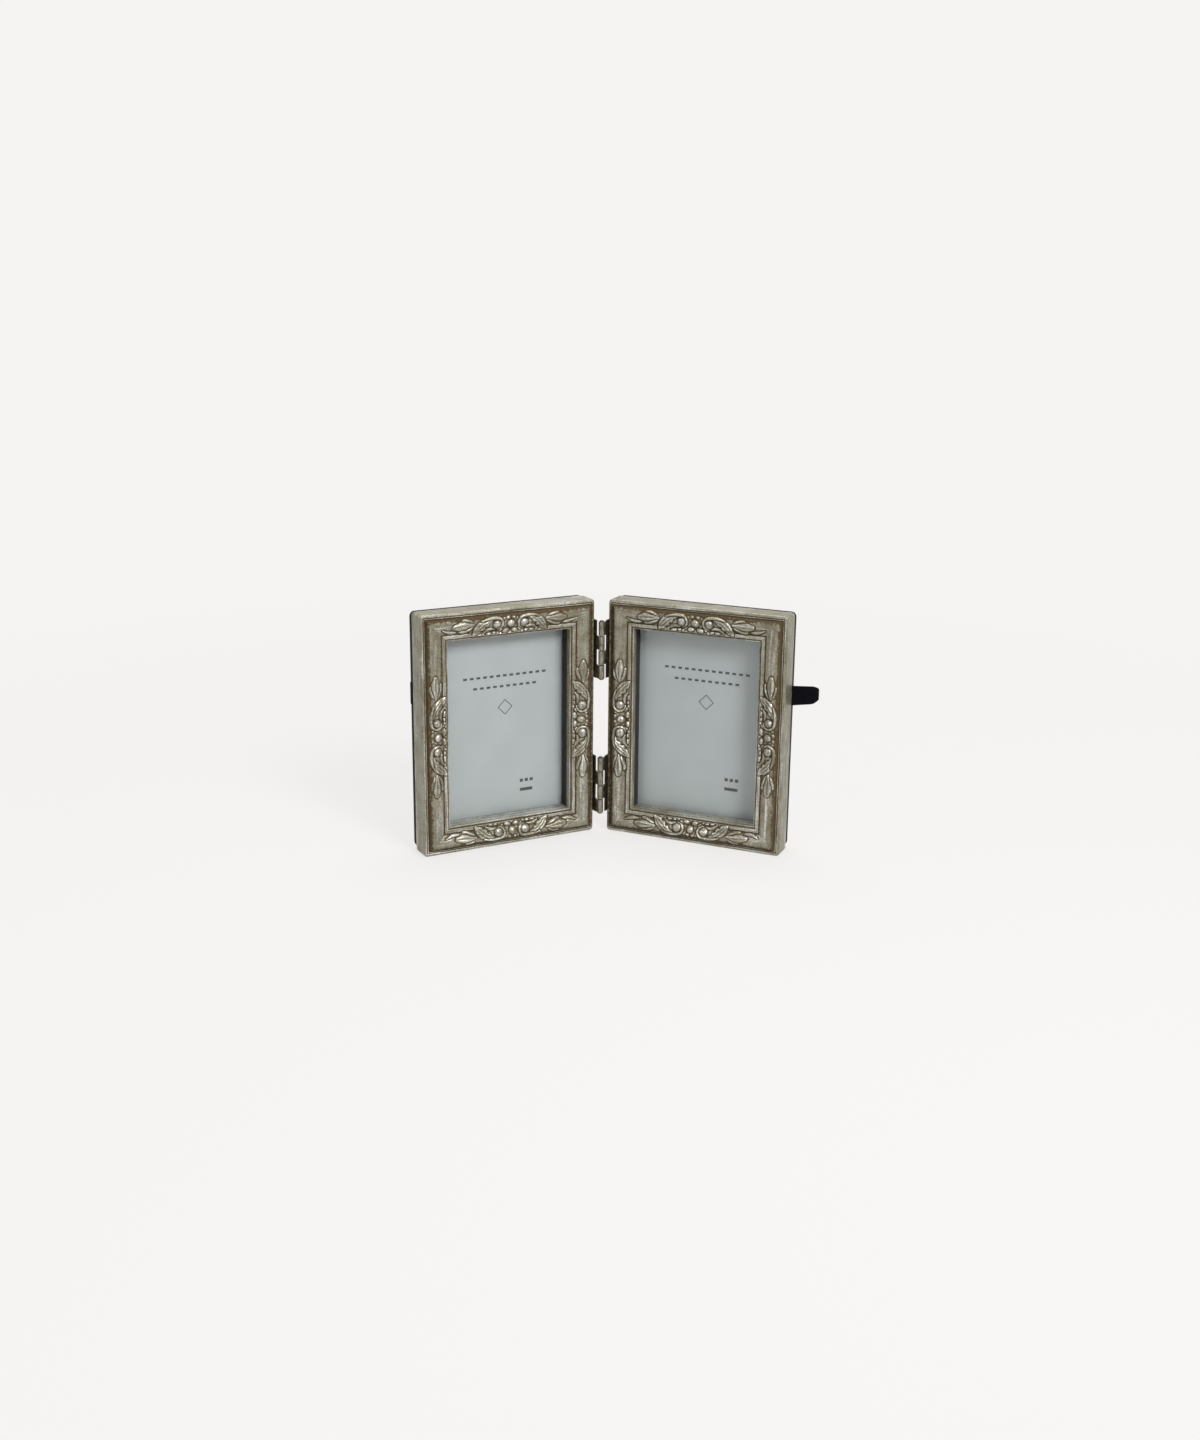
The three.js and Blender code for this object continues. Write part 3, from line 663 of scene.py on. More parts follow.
# Dirt gathers in hollows and what stands up is rubbed; painted shade darkens the deep walls by the glass, the
# hinge side and the tops of the upright rails, and painted light brightens the bottom wall, the lower upright
# rails and the band's corners
castingWear = {
    "unshadedWall": (9.0, 5.2, 5.2, 2.2),  # depth where the painted wall shade begins: bottom, outer, top and hinge-side wall
    # painted shade on the deep walls by the glass
    "wallShade": 1.8,
    "wallShadeReach": 1.2,
    "blurPasses": 6,
    "hollowGain": 5.0,
    "hollowBase": 0.06,
    # painted shade on the hinge-side rail, which faces the other panel
    "hingeSideShade": 0.5,
    "hingeSideReach": 2.0,
    "rebateDirt": 0.35,
    "ledgeLight": 0.45,  # painted light on the bottom wall, which faces up
    "upperShade": 0.14,  # painted shade and light: the upright rails are duller at the top and lighter at the bottom
    "cornerRubAndHighlight": 0.05,  # the plain corners of the band are brighter: rubbed, with a painted highlight
    "cornerReach": 4.0,
    "leastCrest": 0.1,  # what is rubbed less than this stays as it is
    "raisedRub": 0.1,
    "standGain": 1.6,
    "standSpan": (-0.5, 0.28),
}


# Rings of the whole section with their places along the rails, and the rail that each point is on
def castingRings(half, rebate, rows):
    size = castingSizes
    lap, shelf = rows[-1][:2]
    steady = half - lap - size["steadyInset"]
    rings = [(half - row[0], max(size["cornerRound"] - row[0], size["innerRound"]), row) for row in rows]
    back = -size["depth"]
    for n, spread in ((shelf, 0), (shelf - 1, 0), (back + 0.2, 0), (back, 0.2)):
        rings.append((rebate + spread, size["innerRound"], (lap, n, castingWear["rebateDirt"], 0)))
    arc = size["arcSteps"] - 1
    spots = []
    alongs = []
    for reach, radius, unused in rings:
        runs = [railRun(*places, radius) for places in zip(reach, steady)]
        spots.append(panelRing(reach, radius, runs, size["arcSteps"]))
        alongs.append(np.concatenate([np.append(runs[k % 2], [reach[k % 2]] * arc) for k in range(4)]))
    rail = np.concatenate([[k] * (len(runs[k % 2]) + arc) for k in range(4)])
    return np.array(spots), np.array(alongs), rail, np.array([row for *unused, row in rings])


def addCasting(side, material):
    size = castingSizes
    wear = castingWear
    node = side + "_frame"
    low, high = localBox(side, node)
    glassLow, glassHigh = localBox(side, side + "_glass")
    half = (high - low)[::2] / 2
    rebate = (glassHigh - glassLow)[::2] / 2 + size["rebateGap"]
    rimPlane = high[1] - size["depth"]
    outside, carved, inside, wall = castingSection()
    spots, along, rail, section = castingRings(half, rebate, outside + carved + inside + wall)
    rows, count = along.shape
    t, level, hollowAndShade, crest = [np.repeat(column[:, None], count, axis=1) for column in section.T]
    first = len(outside)
    last = first + len(carved)
    band = slice(first, last)
    foot = slice(last + len(inside), last + len(inside) + len(wall))

    lift = np.zeros_like(t)
    phase = reliefSizes["railPhase"] * rail + (reliefSizes["leftPhase"] if side == "left" else 0)
    relief, covered = reliefHeight(along[band], t[band], phase[None, :], (rail % 2 == 0)[None, :])
    raised = bandHeight(t[band]) - level[band] - reliefSizes["sunk"]
    lift[band] = relief + np.where(covered, raised, 0)
    soft = size["softTop"]
    outerFall = size["outerFall"] * ramp(t, *size["outerFallSpan"])
    knee = rimPlane - low[1] - soft - outerFall  # tops ease off under the highest relief of the solid
    over = np.clip(level + lift - knee, 0, None)
    lift = np.where(over > 0, knee - level + soft * (1 - np.exp(-over / soft)), lift)

    stands = lift - blurred(lift, wear["blurPasses"])
    hollowAndShade[band] = np.where(covered, 0, hollowAndShade[band])
    hollowAndShade = np.clip(hollowAndShade + np.clip(wear["hollowBase"] - wear["hollowGain"] * stands, 0, 1), 0, 1)
    # painted shade on the outer faces and rim of the hinge-side rail
    hingeSide = (rail == 3) * ramp(np.abs(along[:first]), half[1], -wear["hingeSideReach"])
    hollowAndShade[:first] += wear["hingeSideShade"] * hingeSide
    shadeStart = np.array(wear["unshadedWall"])[rail]
    hollowAndShade[foot] += wear["wallShade"] * ramp(-level[foot], shadeStart, wear["wallShadeReach"])  # over 1 is painted wall shade
    # painted highlight on the plain corners of the band, besides their rubbing
    corners = wear["cornerRubAndHighlight"] * ramp(np.abs(along), reliefSizes["budTip"], wear["cornerReach"])
    # painted shade at the top of the upright rails and painted light at their bottom
    shadeTowardTop = wear["upperShade"] * spots[:, :, 1] / half[1] * (rail % 2)
    crest = np.where(crest > wear["leastCrest"], crest + corners - shadeTowardTop, crest)
    # painted light on the bottom wall, which faces up
    crest[foot] += wear["ledgeLight"] * (rail == 0) * np.clip(1 - hollowAndShade[foot], 0, 1)
    crest += wear["raisedRub"] * np.clip(lift / reliefSizes["bladeHeight"], 0, 1) ** 2
    crest = np.clip(crest + np.clip(wear["standGain"] * stands, *wear["standSpan"]), 0, 1)

    middle = (high + low) / 2
    points = np.dstack([middle[0] + spots[:, :, 0], rimPlane - level - lift, middle[2] + spots[:, :, 1]])
    faces = gridFaces(rows, count, closeRows=True)
    made = meshObject(side + "_carved_frame", side, points.reshape(-1, 3), faces, [material])
    values = {"hollowAndShade": hollowAndShade, "crest": crest, "upright": np.tile(rail % 2, rows)}
    for name, value in values.items():
        layer = made.data.attributes.new(name, "FLOAT", "POINT")
        layer.data.foreach_set("value", value.astype(np.float32).ravel())
    return settle(made, side + "_panel", "antique_silver", node)


silver = antiqueSilver()
for side in sides:
    casting = addCasting(side, silver)
    print("casting:", casting.name, len(casting.data.polygons), "faces")


# Plate with round corners and soft edges, front face at low y
def plateMesh(low, high, cornerRound, edge):
    eased = 0.3 * edge
    profile = [(edge, low[1]), (eased, low[1] + eased), (0, low[1] + edge)]
    profile += [(inset, low[1] + high[1] - y) for inset, y in profile[::-1]]
    return cappedSkin(insetRings(low, high, profile, cornerRound, (2, 2)))


def addPlate(name, side, node, body, slot, material, look):
    low, high = localBox(side, side + node)
    points, faces = plateMesh(low, high, look["cornerRound"], look["edge"])
    made = meshObject(side + name, side, points, faces, [material], smooth=False)
    return settle(made, side + body, slot, side + node)


# Clear glass: thin pane that lets light through and shines at a glance
glassFinish = {
    "tint": (0.985, 0.99, 0.988, 1),
    "smears": (60.0, 4.0),
    "smearSpan": (0.4, 0.8, 0.03, 0.08),  # polish between and on the smears
    "ior": 1.5,
    "cornerRound": 0.2,
    "edge": 0.12,
}


def clearGlass():
    material, tree, shader = startMaterial("clearGlass")
    tree.nodes.remove(shader)
    look = glassFinish
    clear = addNode(tree, "BsdfTransparent", {"Color": look["tint"]})
    smear = span(tree, noise(tree, objectPlace(tree), *look["smears"]), *look["smearSpan"])
    shine = addNode(tree, "BsdfGlossy", {"Color": (1, 1, 1, 1), "Roughness": smear})
    glance = addNode(tree, "Fresnel", {"IOR": look["ior"]}).outputs[0]
    facing = maths(tree, "SUBTRACT", 1.0, addNode(tree, "NewGeometry", {}).outputs["Backfacing"])
    both = mixShader(tree, maths(tree, "MULTIPLY", glance, facing), clear, shine)
    fill(tree, tree.nodes["Material Output"], {"Surface": both.outputs[0]})
    return material


glass = clearGlass()
for side in sides:
    addPlate("_pane", side, "_glass", "_panel", "clear_glass", glass, glassFinish)
print("glass panes set")


# Insert card: smooth grey stock with plain printed rules
cardFinish = {
    "tones": ((0.345, 0.375, 0.378, 1), (0.325, 0.352, 0.355, 1)),
    "grain": (4200.0, 3.0, 0.6),
    "clouds": (90.0, 4.0),
    "grainShare": 0.35,
    "cloudShare": 0.65,
    "toneSpan": (0.35, 0.65),
    "relief": (0.05, 0.00001),
    "sockets": {"Roughness": 0.55},
    "ink": ((0.02, 0.021, 0.023, 1), (0.06, 0.062, 0.066, 1)),
    "inkWear": (6000.0, 2.0),
    "inkSpan": (0.45, 0.8),
    "inkLift": 0.02,
    "cornerRound": 0.3,
    "edge": 0.05,
    "rules": ((17.6, 17.6), (13.6, 13.6)),  # up from the middle, half length
    "dash": (1.5, 1.15, 0.85),  # length, gap, thickness
    "shift": {"left": (1.3, 0.0), "right": (2.0, 2.1)},  # no two inserts sit alike
    "bar": {"left": (5.9, -27.6), "right": (8.1, -27.0)},
    "barSize": (5.2, 1.2),
    "tally": (1.3, 0.75, 1.2),  # length, gap, thickness
    "tallyCount": 3,
    "tallyRise": 3.6,  # over the bar
    "lozenge": (6.0, 3.0, 0.42),  # up from the middle, half width, line
}


def printInk():
    material, tree, shader = startMaterial("printInk")
    worn = span(tree, noise(tree, objectPlace(tree), *cardFinish["inkWear"]), *cardFinish["inkSpan"])
    fill(tree, shader, {"Base Color": mixColour(tree, worn, *cardFinish["ink"]), "Roughness": 0.5})
    return material


def dashes(start, up, count, dash, gap, thick):
    row = []
    for left in start + np.arange(count) * (dash + gap):
        row.append([(left, up), (left + dash, up), (left + dash, up + thick), (left, up + thick)])
    return row


def inkMarks(side):
    look = cardFinish
    dash, gap, thick = look["dash"]
    marks = []
    for up, reach in look["rules"]:
        count = int((2 * reach + gap) / (dash + gap))
        marks += dashes((gap - count * (dash + gap)) / 2, up, count, *look["dash"])
    across, up = look["bar"][side]
    length, thick = look["barSize"]
    marks += dashes(across, up, 1, length, 0, thick)
    marks += dashes(across, up + look["tallyRise"], look["tallyCount"], *look["tally"])
    up, half, line = look["lozenge"]
    for here, there in zip(railWays, np.roll(railWays, -1, axis=0)):
        reach = ((here, half), (there, half), (there, half - line), (here, half - line))
        marks.append([(way[0] * far, up + way[1] * far) for way, far in reach])
    return np.array(marks) + look["shift"][side]


def addCard(side, stock, ink):
    node = side + "_card"
    low, high = localBox(side, node)
    points, faces = plateMesh(low, high, cardFinish["cornerRound"], cardFinish["edge"])
    middle = (low + high)[::2] / 2
    marks = inkMarks(side)
    printed = marks.reshape(-1, 2) * (sides[side], 1) + middle
    printed = np.insert(printed, 1, low[1] - cardFinish["inkLift"], axis=1)
    materialIndex = [0] * len(faces) + [1] * len(marks)
    for first in range(len(points), len(points) + len(printed), 4):
        order = (first, first + 1, first + 2, first + 3)
        faces.append(order[::sides[side]])
    made = meshObject(side + "_insert", side, np.vstack([points, printed]), faces, [stock, ink], smooth=False)
    made.data.polygons.foreach_set("material_index", materialIndex)
    return settle(made, side + "_panel", "insert_card", node)


stock = grainedStock("insertCard", cardFinish)
ink = printInk()
for side in sides:
    addCard(side, stock, ink)
print("insert cards set")


# Grey board: pads and back boards, with pressed fibres
boardFinish = {
    "tones": ((0.13, 0.118, 0.1, 1), (0.2, 0.185, 0.165, 1)),
    "grain": (900.0, 6.0, 0.7, 1.5),
    "clouds": (2600.0, 2.0),
    "grainShare": 0.5,
    "cloudShare": 0.5,
    "toneSpan": (0.4, 0.64),
    "relief": (0.4, 0.00008),
    "sockets": {"Roughness": 0.85},
    "cornerRound": 1.1,
    "edge": 0.15,
}

board = grainedStock("greyBoard", boardFinish)
for side in sides:
    addPlate("_pad", side, "_filler_pad", "_back", "grey_board", board, boardFinish)
    addPlate("_board", side, "_back_board", "_back", "grey_board", board, boardFinish)
print("pads and boards set")


# Black velvet: short pile wrapped over the back and the edges of the board
velvetFinish = {
    "tones": ((0.011, 0.011, 0.012, 1), (0.026, 0.026, 0.028, 1)),
    "grain": (5200.0, 3.0, 0.7),
    "clouds": (75.0, 5.0, 0.6, 0.7),
    "grainShare": 0.7,
    "cloudShare": 0.5,
    "toneSpan": (0.45, 0.85),
    "relief": (0.6, 0.00015),
    "sockets": {"Roughness": 0.95, "Specular IOR Level": 0.1, "Sheen Weight": 0.1, "Sheen Roughness": 0.4},
    "cloth": 0.5,  # thickness of the velvet
    "cornerRound": 1.8,
    "innerRound": 0.12,
    "edgeRound": 0.3,
    "edgeSteps": 6,
    "step": 1.2,
    "backRings": 34,
    "backLine": 0.2,  # the rings of the back close in on a line of this half width
    "unevenness": 0.05,
}


def addVelvet(side, material):
    look = velvetFinish
    node = side + "_velvet_cover"
    low, high = localBox(side, node)
    width, depth, height = high - low
    front, back = low[1], high[1]
    edge = look["edgeRound"]
    cloth = look["cloth"]
    insets = np.linspace(edge, width / 2 - look["backLine"], look["backRings"])[1:]
    profile = [(inset, back - cloth) for inset in insets[::-1]]
    profile += [(cloth, back - cloth), (cloth, front + 0.05)]
    profile += [(0.75 * cloth, front), (0.25 * cloth, front), (0, front + 0.15)]
    profile += [(0, y) for y in np.linspace(front + 0.4, back - edge, 4)]
    for turn in np.linspace(0, math.pi / 2, look["edgeSteps"] + 1)[1:]:
        profile.append((edge * (1 - math.cos(turn)), back - edge * (1 - math.sin(turn))))
    profile += [(inset, back) for inset in insets]
    counts = [int(length / look["step"]) for length in (width, height)]
    rings = insetRings(low, high, profile, look["cornerRound"], counts, look["innerRound"])
    points, faces = cappedSkin(rings)
    x, y, z = points.T
    wave = np.sin(0.9 * x + 1.3 * np.sin(0.31 * z)) * np.sin(0.53 * z + 0.7)
    points[:, 1] -= np.where(y > back - 0.01, look["unevenness"] * (1 + wave) / 2, 0)
    made = meshObject(side + "_velvet", side, points, faces, [material])
    settle(made, side + "_back", "black_velvet", node)
    return made


velvet = grainedStock("blackVelvet", velvetFinish)
for side in sides:
    addVelvet(side, velvet)
print("velvet covers wrapped")


# Black ribbon: doubled pull tab on the right back, and one turned round the edge of the left back
ribbonFinish = {
    "tones": ((0.002, 0.002, 0.003, 1), (0.006, 0.006, 0.007, 1)),
    "ribsPerMm": 3.4,
    "threadsPerMm": 5.0,
    "threadShare": 0.3,
    "fuzz": (4000.0, 3.0),
    "fuzzShare": 1.2,
    "toneSpan": (-0.6, 1.8),
    "relief": (0.5, 0.00006),
    "sockets": {"Roughness": 0.6, "Specular IOR Level": 0.04},
    "cloth": 0.13,
    "widthSteps": 26,
    "rootDrop": 0.7,
    "tipRise": 1.9,
    "tipRound": 3.0,
    "tipNip": (0.7, 0.5),  # how much of the round the lower and the upper edge take
    "loop": 1.15,
    "loopTurn": 1.45,
    "layerGap": 0.03,
    "bend": 0.3,  # round the edge of the left back
}


def blackRibbon():
    material, tree, shader = startMaterial("blackRibbon")
    look = ribbonFinish
    along = addNode(tree, "UVMap", {}, uv_map="weave").outputs[0]
    parts = addNode(tree, "SeparateXYZ", {0: along}).outputs
    ribs, threads = [
        maths(tree, "SINE", maths(tree, "MULTIPLY", part, look[key] * math.tau), 0)
        for part, key in zip(parts, ("ribsPerMm", "threadsPerMm"))
    ]
    weave = plus(tree, threads, look["threadShare"], ribs)
    shade = plus(tree, noise(tree, objectPlace(tree), *look["fuzz"]), look["fuzzShare"], weave)
    dress(tree, shader, look, shade, weave)
    return material


def ribbonStrip(side, path, edges, material):
    path = np.array(path, float)
    node = side + "_ribbon_tab"
    heading, lengths = pathRun(path)
    beside = np.column_stack([-heading[:, 1], heading[:, 0]]) * ribbonFinish["cloth"] / 2
    rings = []
    for place, aside, (bottom, top) in zip(path, beside, edges):
        ups = np.linspace(bottom, top, ribbonFinish["widthSteps"] + 1)
        ring = [(*(place - aside), up) for up in ups] + [(*(place + aside), up) for up in ups[::-1]]
        rings.append(ring)
    points, faces = cappedSkin(np.array(rings))
    made = meshObject(side + "_ribbon", side, points, faces, [material])
    weave = np.column_stack([np.repeat(lengths, len(rings[0])), points[:, 2]])
    spots = [loop.vertex_index for loop in made.data.loops]
    made.data.uv_layers.new(name="weave").data.foreach_set("uv", weave[spots].ravel())
    return settle(made, side + "_back", "black_ribbon", node)


def addRightRibbon(material):
    look = ribbonFinish
    low, high = localBox("right", "right_ribbon_tab")
    edge = localBox("right", "right_frame")[1][0]
    middle = (low[1] + high[1]) / 2
    bend = look["loop"] / 2
    turn = high[0] - bend - look["cloth"] / 2
    near = look["cloth"] / 2 + look["layerGap"]
    front = []
    for x in np.linspace(low[0], turn, 30):
        opening = ramp(x, edge, turn - edge)
        front.append((x, middle - near - (bend - near) * opening ** 2 * (3 - 2 * opening)))
    path = front + arcPoints((turn, middle), bend, np.linspace(-look["loopTurn"], look["loopTurn"], 12))
    path += [(x, 2 * middle - y) for x, y in front[::-1]]
    lowerNip, upperNip = look["tipNip"]
    edges = []
    for x, unused in path:
        share = ramp(x, edge, high[0] - edge)
        tip = ramp(x, high[0] - look["tipRound"], look["tipRound"])
        nip = look["tipRound"] * (1 - math.sqrt(1 - tip ** 2))
        bottom = low[2] + look["tipRise"] * share + lowerNip * nip
        edges.append((bottom, high[2] - look["rootDrop"] * (1 - share) - upperNip * nip))
    return ribbonStrip("right", path, edges, material)


def addLeftRibbon(material):
    low, high = localBox("left", "left_ribbon_tab")
    half = ribbonFinish["cloth"] / 2
    bend = ribbonFinish["bend"]
    front = low[1] + half
    back = high[1] - half
    root = localBox("left", "left_filler_pad")[1][0]
    edge = localBox("left", "left_velvet_cover")[1][0] + half
    turns = np.linspace(0.3, 1.3, 4)
    path = [(x, front) for x in np.linspace(root, edge - bend, 10)]
    path += arcPoints((edge - bend, front + bend), bend, turns - math.pi / 2)
    path += [(edge, y) for y in np.linspace(front + bend, back - bend, 5)]
    path += arcPoints((edge - bend, back - bend), bend, turns)
    path += [(x, back) for x in np.linspace(edge - bend, low[0], 12)]
    return ribbonStrip("left", path, [(low[2], high[2])] * len(path), material)


ribbon = blackRibbon()
addRightRibbon(ribbon)
addLeftRibbon(ribbon)
print("ribbon tabs set")


# Hinges: rolled knuckles on thin leaves, domed pins and slotted screws
hingeFinish = {
    "steel": (0.19, 0.17, 0.13, 1),
    "worn": (0.4, 0.375, 0.315, 1),
    # tarnish; also the colour of the painted shade on the leaves
    "tarnishAndShade": (0.075, 0.056, 0.036, 1),
    "brush": (3800.0, 3.0),
    "brushStretch": (1, 1, 0.12),
    "clouds": (420.0, 5.0, 0.6, 0.8),
    "wornSpan": (0.35, 0.7),
    "leafShadeSpan": (0.0011, 0.0021, 0.0, 0.2),  # painted shade: the leaves, in the shade between the panels, are darker than the barrels
    "tarnishSpan": (0.45, 0.75),
    "roughSpan": (0.3, 0.7, 0.3, 0.55),
    "metal": 0.9,
    "relief": (0.15, 0.00003),
    "leafThick": 0.55,
    "notch": 2.6,
    "leafLap": 0.6,  # a knuckle's strip on its leaf
    "barrel": 1.15,
    "bore": 0.66,
    "knuckles": 4,
    "knuckleGap": 0.4,
    "edge": 0.07,
    "roundSteps": 36,
    "pinHead": 0.35,
    "pinShank": 0.6,
    "screwHead": 1.05,
    "screwShank": 0.5,
    "screwPitch": 0.62,
    "threadRoot": 0.78,
    "slotWidth": 0.35,
    "slotDepth": 0.3,
    "holeGap": 0.08,
    "overrun": 0.5,  # cutters run past the faces that they cut
    "smoothAngle": 38,
}


def pewterSteel(name, lift):
    material, tree, shader = startMaterial(name)
    look = hingeFinish
    place = objectPlace(tree)
    brushed = noise(tree, stretched(tree, place, look["brushStretch"]), *look["brush"])
    clouds = noise(tree, place, *look["clouds"])
    base = mixColour(tree, span(tree, brushed, *look["wornSpan"]), look["steel"], look["worn"])
    # painted shade on the leaves, away from the pin's axis, added to the tarnish
    aside = vectorMaths(tree, "SUBTRACT", place, hingeSpot)[0]
    level = vectorMaths(tree, "MULTIPLY", aside, (1, 1, 0))[0]
    leafShade = span(tree, vectorMaths(tree, "LENGTH", level)["Value"], *look["leafShadeSpan"])
    low, high = look["tarnishSpan"]
    tarnishAndShadeShare = span(tree, maths(tree, "ADD", clouds, leafShade), low + lift, high + lift)
    fill(tree, shader, {
        "Base Color": mixColour(tree, tarnishAndShadeShare, base, look["tarnishAndShade"]),
        "Metallic": look["metal"],
        "Roughness": span(tree, clouds, *look["roughSpan"]),
        "Normal": bump(tree, brushed, *look["relief"]),
    })
    return material


def extruded(outline, bottom, top):
    made = bmesh.new()
    lower, upper = [[made.verts.new((x, y, z)) for x, y in outline] for z in (bottom, top)]
    made.faces.new(lower[::-1])
    made.faces.new(upper)
    for i in range(len(outline)):
        made.faces.new((lower[i - 1], lower[i], upper[i], upper[i - 1]))
    return made


def block(low, high):
    outline = [(low[0], low[1]), (high[0], low[1]), (high[0], high[1]), (low[0], high[1])]
    return extruded(outline, low[2], high[2])


# Round piece along x, from a profile of (radius, distance along x)
def turned(profile, steps=28):
    made = bmesh.new()
    turns = np.arange(steps) / steps * math.tau
    rings = []
    for radius, along in profile:
        spots = arcPoints((0, 0), radius, turns if radius > 1e-6 else [0])  # one point at a pole
        rings.append([made.verts.new((along, *spot)) for spot in spots])
    for before, after in zip(rings, rings[1:]):
        for i in range(steps):
            j = (i + 1) % steps
            places = ((before, i), (before, j), (after, j), (after, i))
            made.faces.new(list(dict.fromkeys(ring[spot % len(ring)] for ring, spot in places)))
    return made


def roughPiece(name, made, edge=0.0):
    if edge:
        sharp = [e for e in made.edges if e.calc_face_angle(0) > 0.6]
        bmesh.ops.bevel(
            made, geom=sharp, offset=edge, segments=2, profile=0.6, affect="EDGES", clamp_overlap=True,
        )
    bmesh.ops.recalc_face_normals(made, faces=made.faces[:])
    mesh = bpy.data.meshes.new(name)
    made.to_mesh(mesh)
    made.free()
    return linkedObject(name, mesh)


def combined(base, cutters, operation):
    for cutter in cutters:
        step = base.modifiers.new(cutter.name, "BOOLEAN")
        step.object = cutter
        step.operation = operation
        step.solver = "EXACT"
    bpy.context.view_layer.update()
    shaped = bpy.data.meshes.new_from_object(base.evaluated_get(bpy.context.evaluated_depsgraph_get()))
    base.modifiers.clear()
    base.data = shaped
    for cutter in cutters:
        bpy.data.objects.remove(cutter)
    return base


def placed(piece, side, name, material):
    points = np.array([vertex.co for vertex in piece.data.vertices])
    faces = [tuple(polygon.vertices) for polygon in piece.data.polygons]
    bpy.data.objects.remove(piece)
    made = meshObject(name, side, points, faces, [material])
    made.data.set_sharp_from_angle(angle=math.radians(hingeFinish["smoothAngle"]))
    return made


def addLeaf(hinge, side, firstKnuckle, material):
    look = hingeFinish
    node = hinge + "_" + side + "_leaf"
    screws = [localBox(side, hinge + "_" + side + "_screw_" + i) for i in "12"]
    pinLow, pinHigh = [corner[2] for corner in localBox(side, hinge + "_pin")]
    bottom = pinLow + look["pinHead"]
    top = pinHigh - look["pinHead"]
    pitch = (top - bottom) / look["knuckles"]
    inner = max(screws[0][0][0], 0.05)
    outer = inner + look["leafThick"]
    reach = localBox(side, node)[1][1]
    plate = block((inner, look["notch"], bottom), (outer, reach, top))
    start, end = [math.acos(face / look["barrel"]) for face in (inner, outer)]
    turns = np.linspace(start + 0.06, end + math.tau, look["roundSteps"])
    outline = arcPoints((0, 0), look["barrel"], turns)
    lap = look["notch"] + look["leafLap"]
    outline += [(outer, lap), (inner, lap), (inner, outline[0][1] + 0.08)]
    knuckles = []
    for i in range(firstKnuckle, look["knuckles"], 2):
        upper = top - i * pitch - look["knuckleGap"] / 2
        rolled = extruded(outline, upper - pitch + look["knuckleGap"], upper)
        knuckles.append(roughPiece(node + "_knuckle", rolled, 0.8 * look["edge"]))
    whole = combined(roughPiece(node + "_plate", plate, look["edge"]), knuckles, "UNION")
    circle = arcPoints((0, 0), look["bore"], np.arange(24) / 24 * math.tau)
    cutters = [roughPiece(node + "_bore", extruded(circle, bottom - 1, top + 1))]
    head = look["screwHead"] + look["holeGap"]
    shank = look["screwShank"] + look["holeGap"]
    through = look["leafThick"] + look["overrun"]
    hole = [(0, -0.2), (head + 0.2, -0.2), (head, 0)]
    hole += [(shank, look["leafThick"]), (shank, through), (0, through)]
    for screwLow, screwHigh in screws:
        sink = turned(hole)
        spot = (inner, *((screwLow + screwHigh) / 2)[1:])
        bmesh.ops.translate(sink, verts=sink.verts[:], vec=spot)
        cutters.append(roughPiece(node + "_sink", sink))
    whole = combined(whole, cutters, "DIFFERENCE")
    made = placed(whole, side, hinge + "_" + side + "_hinge_leaf", material)
    return settle(made, side + "_panel", "hinge_steel", node)


def addPin(hinge, material):
    look = hingeFinish
    node = hinge + "_pin"
    low, high = localBox("left", node)
    head = look["pinHead"]
    half = (high[2] - low[2]) / 2 - head
    profile = [(look["pinShank"], 0), (look["pinShank"], half)]
    for turn in np.linspace(0, math.pi / 2, 7):
        profile.append((high[1] * math.cos(turn), half + head * math.sin(turn)))
    profile = [(radius, -along) for radius, along in profile[::-1]] + profile[1:]
    pin = turned(profile)
    for vertex in pin.verts:
        x, y, z = vertex.co
        vertex.co = (y, z, (high[2] + low[2]) / 2 + x)
    made = placed(roughPiece(node + "_turned", pin), "left", hinge + "_hinge_pin", material)
    return settle(made, "left_panel", "hinge_steel", node)


def addScrew(hinge, side, i, material):
    look = hingeFinish
    node = hinge + "_" + side + "_screw_" + str(i)
    low, high = localBox(side, node)
    head = look["screwHead"]
    shank = look["screwShank"]
    root = look["threadRoot"] * shank
    pitch = look["screwPitch"]
    end = high[0] - low[0] - shank
    profile = [(0, 0), (head - 0.1, 0), (head, 0.06), (shank, look["leafThick"])]
    along = look["leafThick"] + 0.2
    while along + pitch < end:
        profile += [(root, along), (shank, along + 0.5 * pitch), (root, along + 0.98 * pitch)]
        along += pitch
    profile += [(0.7 * shank, end), (0, end + shank)]
    screw = roughPiece(node + "_turned", turned(profile, 24))
    half = look["slotWidth"] / 2
    long = head + 0.3
    slot = block((-0.3, -half, -long), (look["slotDepth"], half, long))
    lean = 0.35 + 1.1 * i + (0.6 if side == "left" else 0.0)  # no two slots stand alike
    spin = Quaternion((1, 0, 0), lean).to_matrix()
    bmesh.ops.rotate(slot, verts=slot.verts[:], cent=(0, 0, 0), matrix=spin)
    screw = combined(screw, [roughPiece(node + "_slot", slot)], "DIFFERENCE")
    for vertex in screw.data.vertices:
        vertex.co += Vector((low[0], (low[1] + high[1]) / 2, (low[2] + high[2]) / 2))
    made = placed(screw, side, node.replace("_screw_", "_hinge_screw_"), material)
    return settle(made, side + "_panel", "screw_steel", node)


leafSteel = pewterSteel("hingeSteel", 0.0)
# painted shade: the pin is darker, so that the gaps between the knuckles read dark
shadedPinSteel = pewterSteel("shadedPinSteel", -0.3)
screwMetal = pewterSteel("screwSteel", 0.06)
for hinge in ("upper", "lower"):
    for side, firstKnuckle in (("left", 1), ("right", 0)):
        addLeaf(hinge, side, firstKnuckle, leafSteel)
        for i in (1, 2):
            addScrew(hinge, side, i, screwMetal)
    addPin(hinge, shadedPinSteel)
print("hinges set")


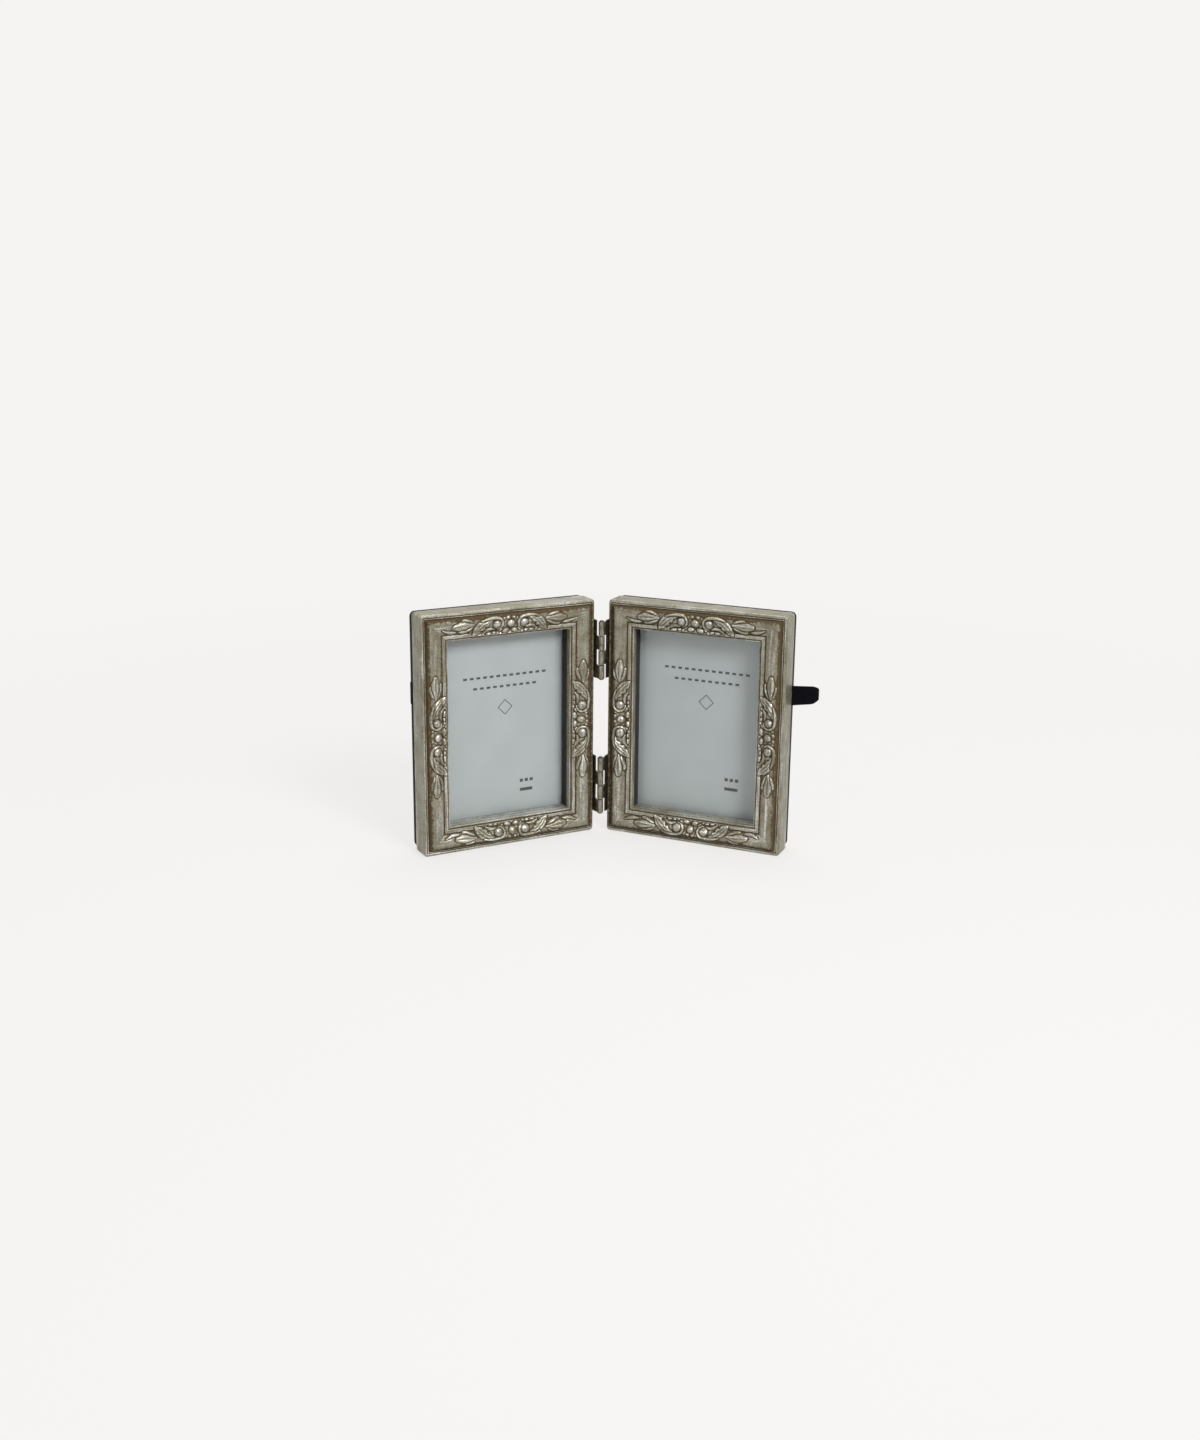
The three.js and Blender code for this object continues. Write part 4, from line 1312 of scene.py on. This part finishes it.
# Studio: pale floor, soft light, camera
studio = {
    "pale": (0.913, 0.905, 0.888, 1),
    "ambient": 0.46,
    "floorShown": (0.62, 0.612, 0.6, 1),
    # painted light: a pool on the floor, brighter near the object, that lights it from below
    "floorNear": (0.9, 0.89, 0.87, 1),
    "floorFar": (0.3, 0.297, 0.29, 1),
    "floorHalf": 4.0,
    "glowSpan": (0.12, 0.6, 0.78, 1.0),  # distances from the middle, glow at each
    "poolSpan": (0.12, 0.32),
    "lamps": {  # place, size, power
        "keyLamp": ((0.45, -0.8, 0.72), 0.42, 11.0),
        "topLamp": ((0.0, 0.25, 1.1), 0.7, 7.0),
        "fillLamp": ((-0.8, -0.5, 0.5), 0.6, 1.0),
    },
}


def lightPathMask(tree):
    path = addNode(tree, "LightPath", {}).outputs
    seen = maths(tree, "MAXIMUM", path["Is Camera Ray"], path["Is Transmission Ray"])
    return maths(tree, "MAXIMUM", seen, path["Is Glossy Ray"])


def addFloor():
    half = studio["floorHalf"]
    mesh = bpy.data.meshes.new("floor")
    corners = [(-half, -half, 0), (half, -half, 0), (half, half, 0), (-half, half, 0)]
    mesh.from_pydata(corners, [], [(0, 1, 2, 3)])
    floor = linkedObject("floor", mesh)
    material, tree, shader = startMaterial("paleFloor")
    tree.nodes.remove(shader)
    away = vectorMaths(tree, "LENGTH", objectPlace(tree))["Value"]
    # painted light: the floor that lights the object is brighter near it
    pool = mixColour(tree, span(tree, away, *studio["poolSpan"]), studio["floorNear"], studio["floorFar"])
    matt = addNode(tree, "BsdfDiffuse", {"Color": pool})
    shade = addNode(tree, "BsdfDiffuse", {"Color": studio["floorShown"]})
    bright = addNode(tree, "Emission", {"Color": studio["pale"], "Strength": 1.0})
    shown = mixShader(tree, span(tree, away, *studio["glowSpan"]), shade, bright)
    both = mixShader(tree, lightPathMask(tree), matt, shown)
    fill(tree, tree.nodes["Material Output"], {"Surface": both.outputs[0]})
    mesh.materials.append(material)


def addWorld():
    world = bpy.data.worlds.new("studio")
    world.use_nodes = True
    tree = world.node_tree
    plain = fill(tree, tree.nodes["Background"], {"Color": (1, 1, 1, 1), "Strength": studio["ambient"]})
    shown = addNode(tree, "Background", {"Color": studio["pale"], "Strength": 1.0})
    both = mixShader(tree, lightPathMask(tree), plain, shown)
    fill(tree, tree.nodes["World Output"], {"Surface": both.outputs[0]})
    scene.world = world


def pointAt(made, place, way, roll=0.0):
    made.location = place
    made.rotation_mode = "QUATERNION"
    made.rotation_quaternion = way.to_track_quat("-Z", "Y") @ Quaternion((0, 0, 1), math.radians(roll))


cameraView = {
    "aim": (-0.004517, 0.0, 0.04664),
    "distance": 0.62175,
    "elevation": 15.789,
    "azimuth": -1.947,
    "roll": 0.538,
    "lens": 42.065,
    "sensor": 36.0,
    "clip": (0.01, 50.0),
}


def addLamps():
    for name, (place, size, power) in studio["lamps"].items():
        lamp = bpy.data.lights.new(name, "AREA")
        lamp.shape = "DISK"
        lamp.size = size
        lamp.energy = power
        pointAt(linkedObject(name, lamp), place, Vector(cameraView["aim"]) - Vector(place))


def addCamera():
    look = cameraView
    rise = math.radians(look["elevation"])
    swing = math.radians(look["azimuth"])
    back = Vector((math.sin(swing) * math.cos(rise), -math.cos(swing) * math.cos(rise), math.sin(rise)))
    camera = bpy.data.cameras.new("camera")
    camera.sensor_width = look["sensor"]
    camera.lens = look["lens"]
    camera.clip_start, camera.clip_end = look["clip"]
    made = linkedObject("camera", camera)
    pointAt(made, Vector(look["aim"]) + back * look["distance"], -back, look["roll"])
    scene.camera = made


addFloor()
addWorld()
addLamps()
addCamera()
scene.view_settings.view_transform = "Standard"
print("studio set")
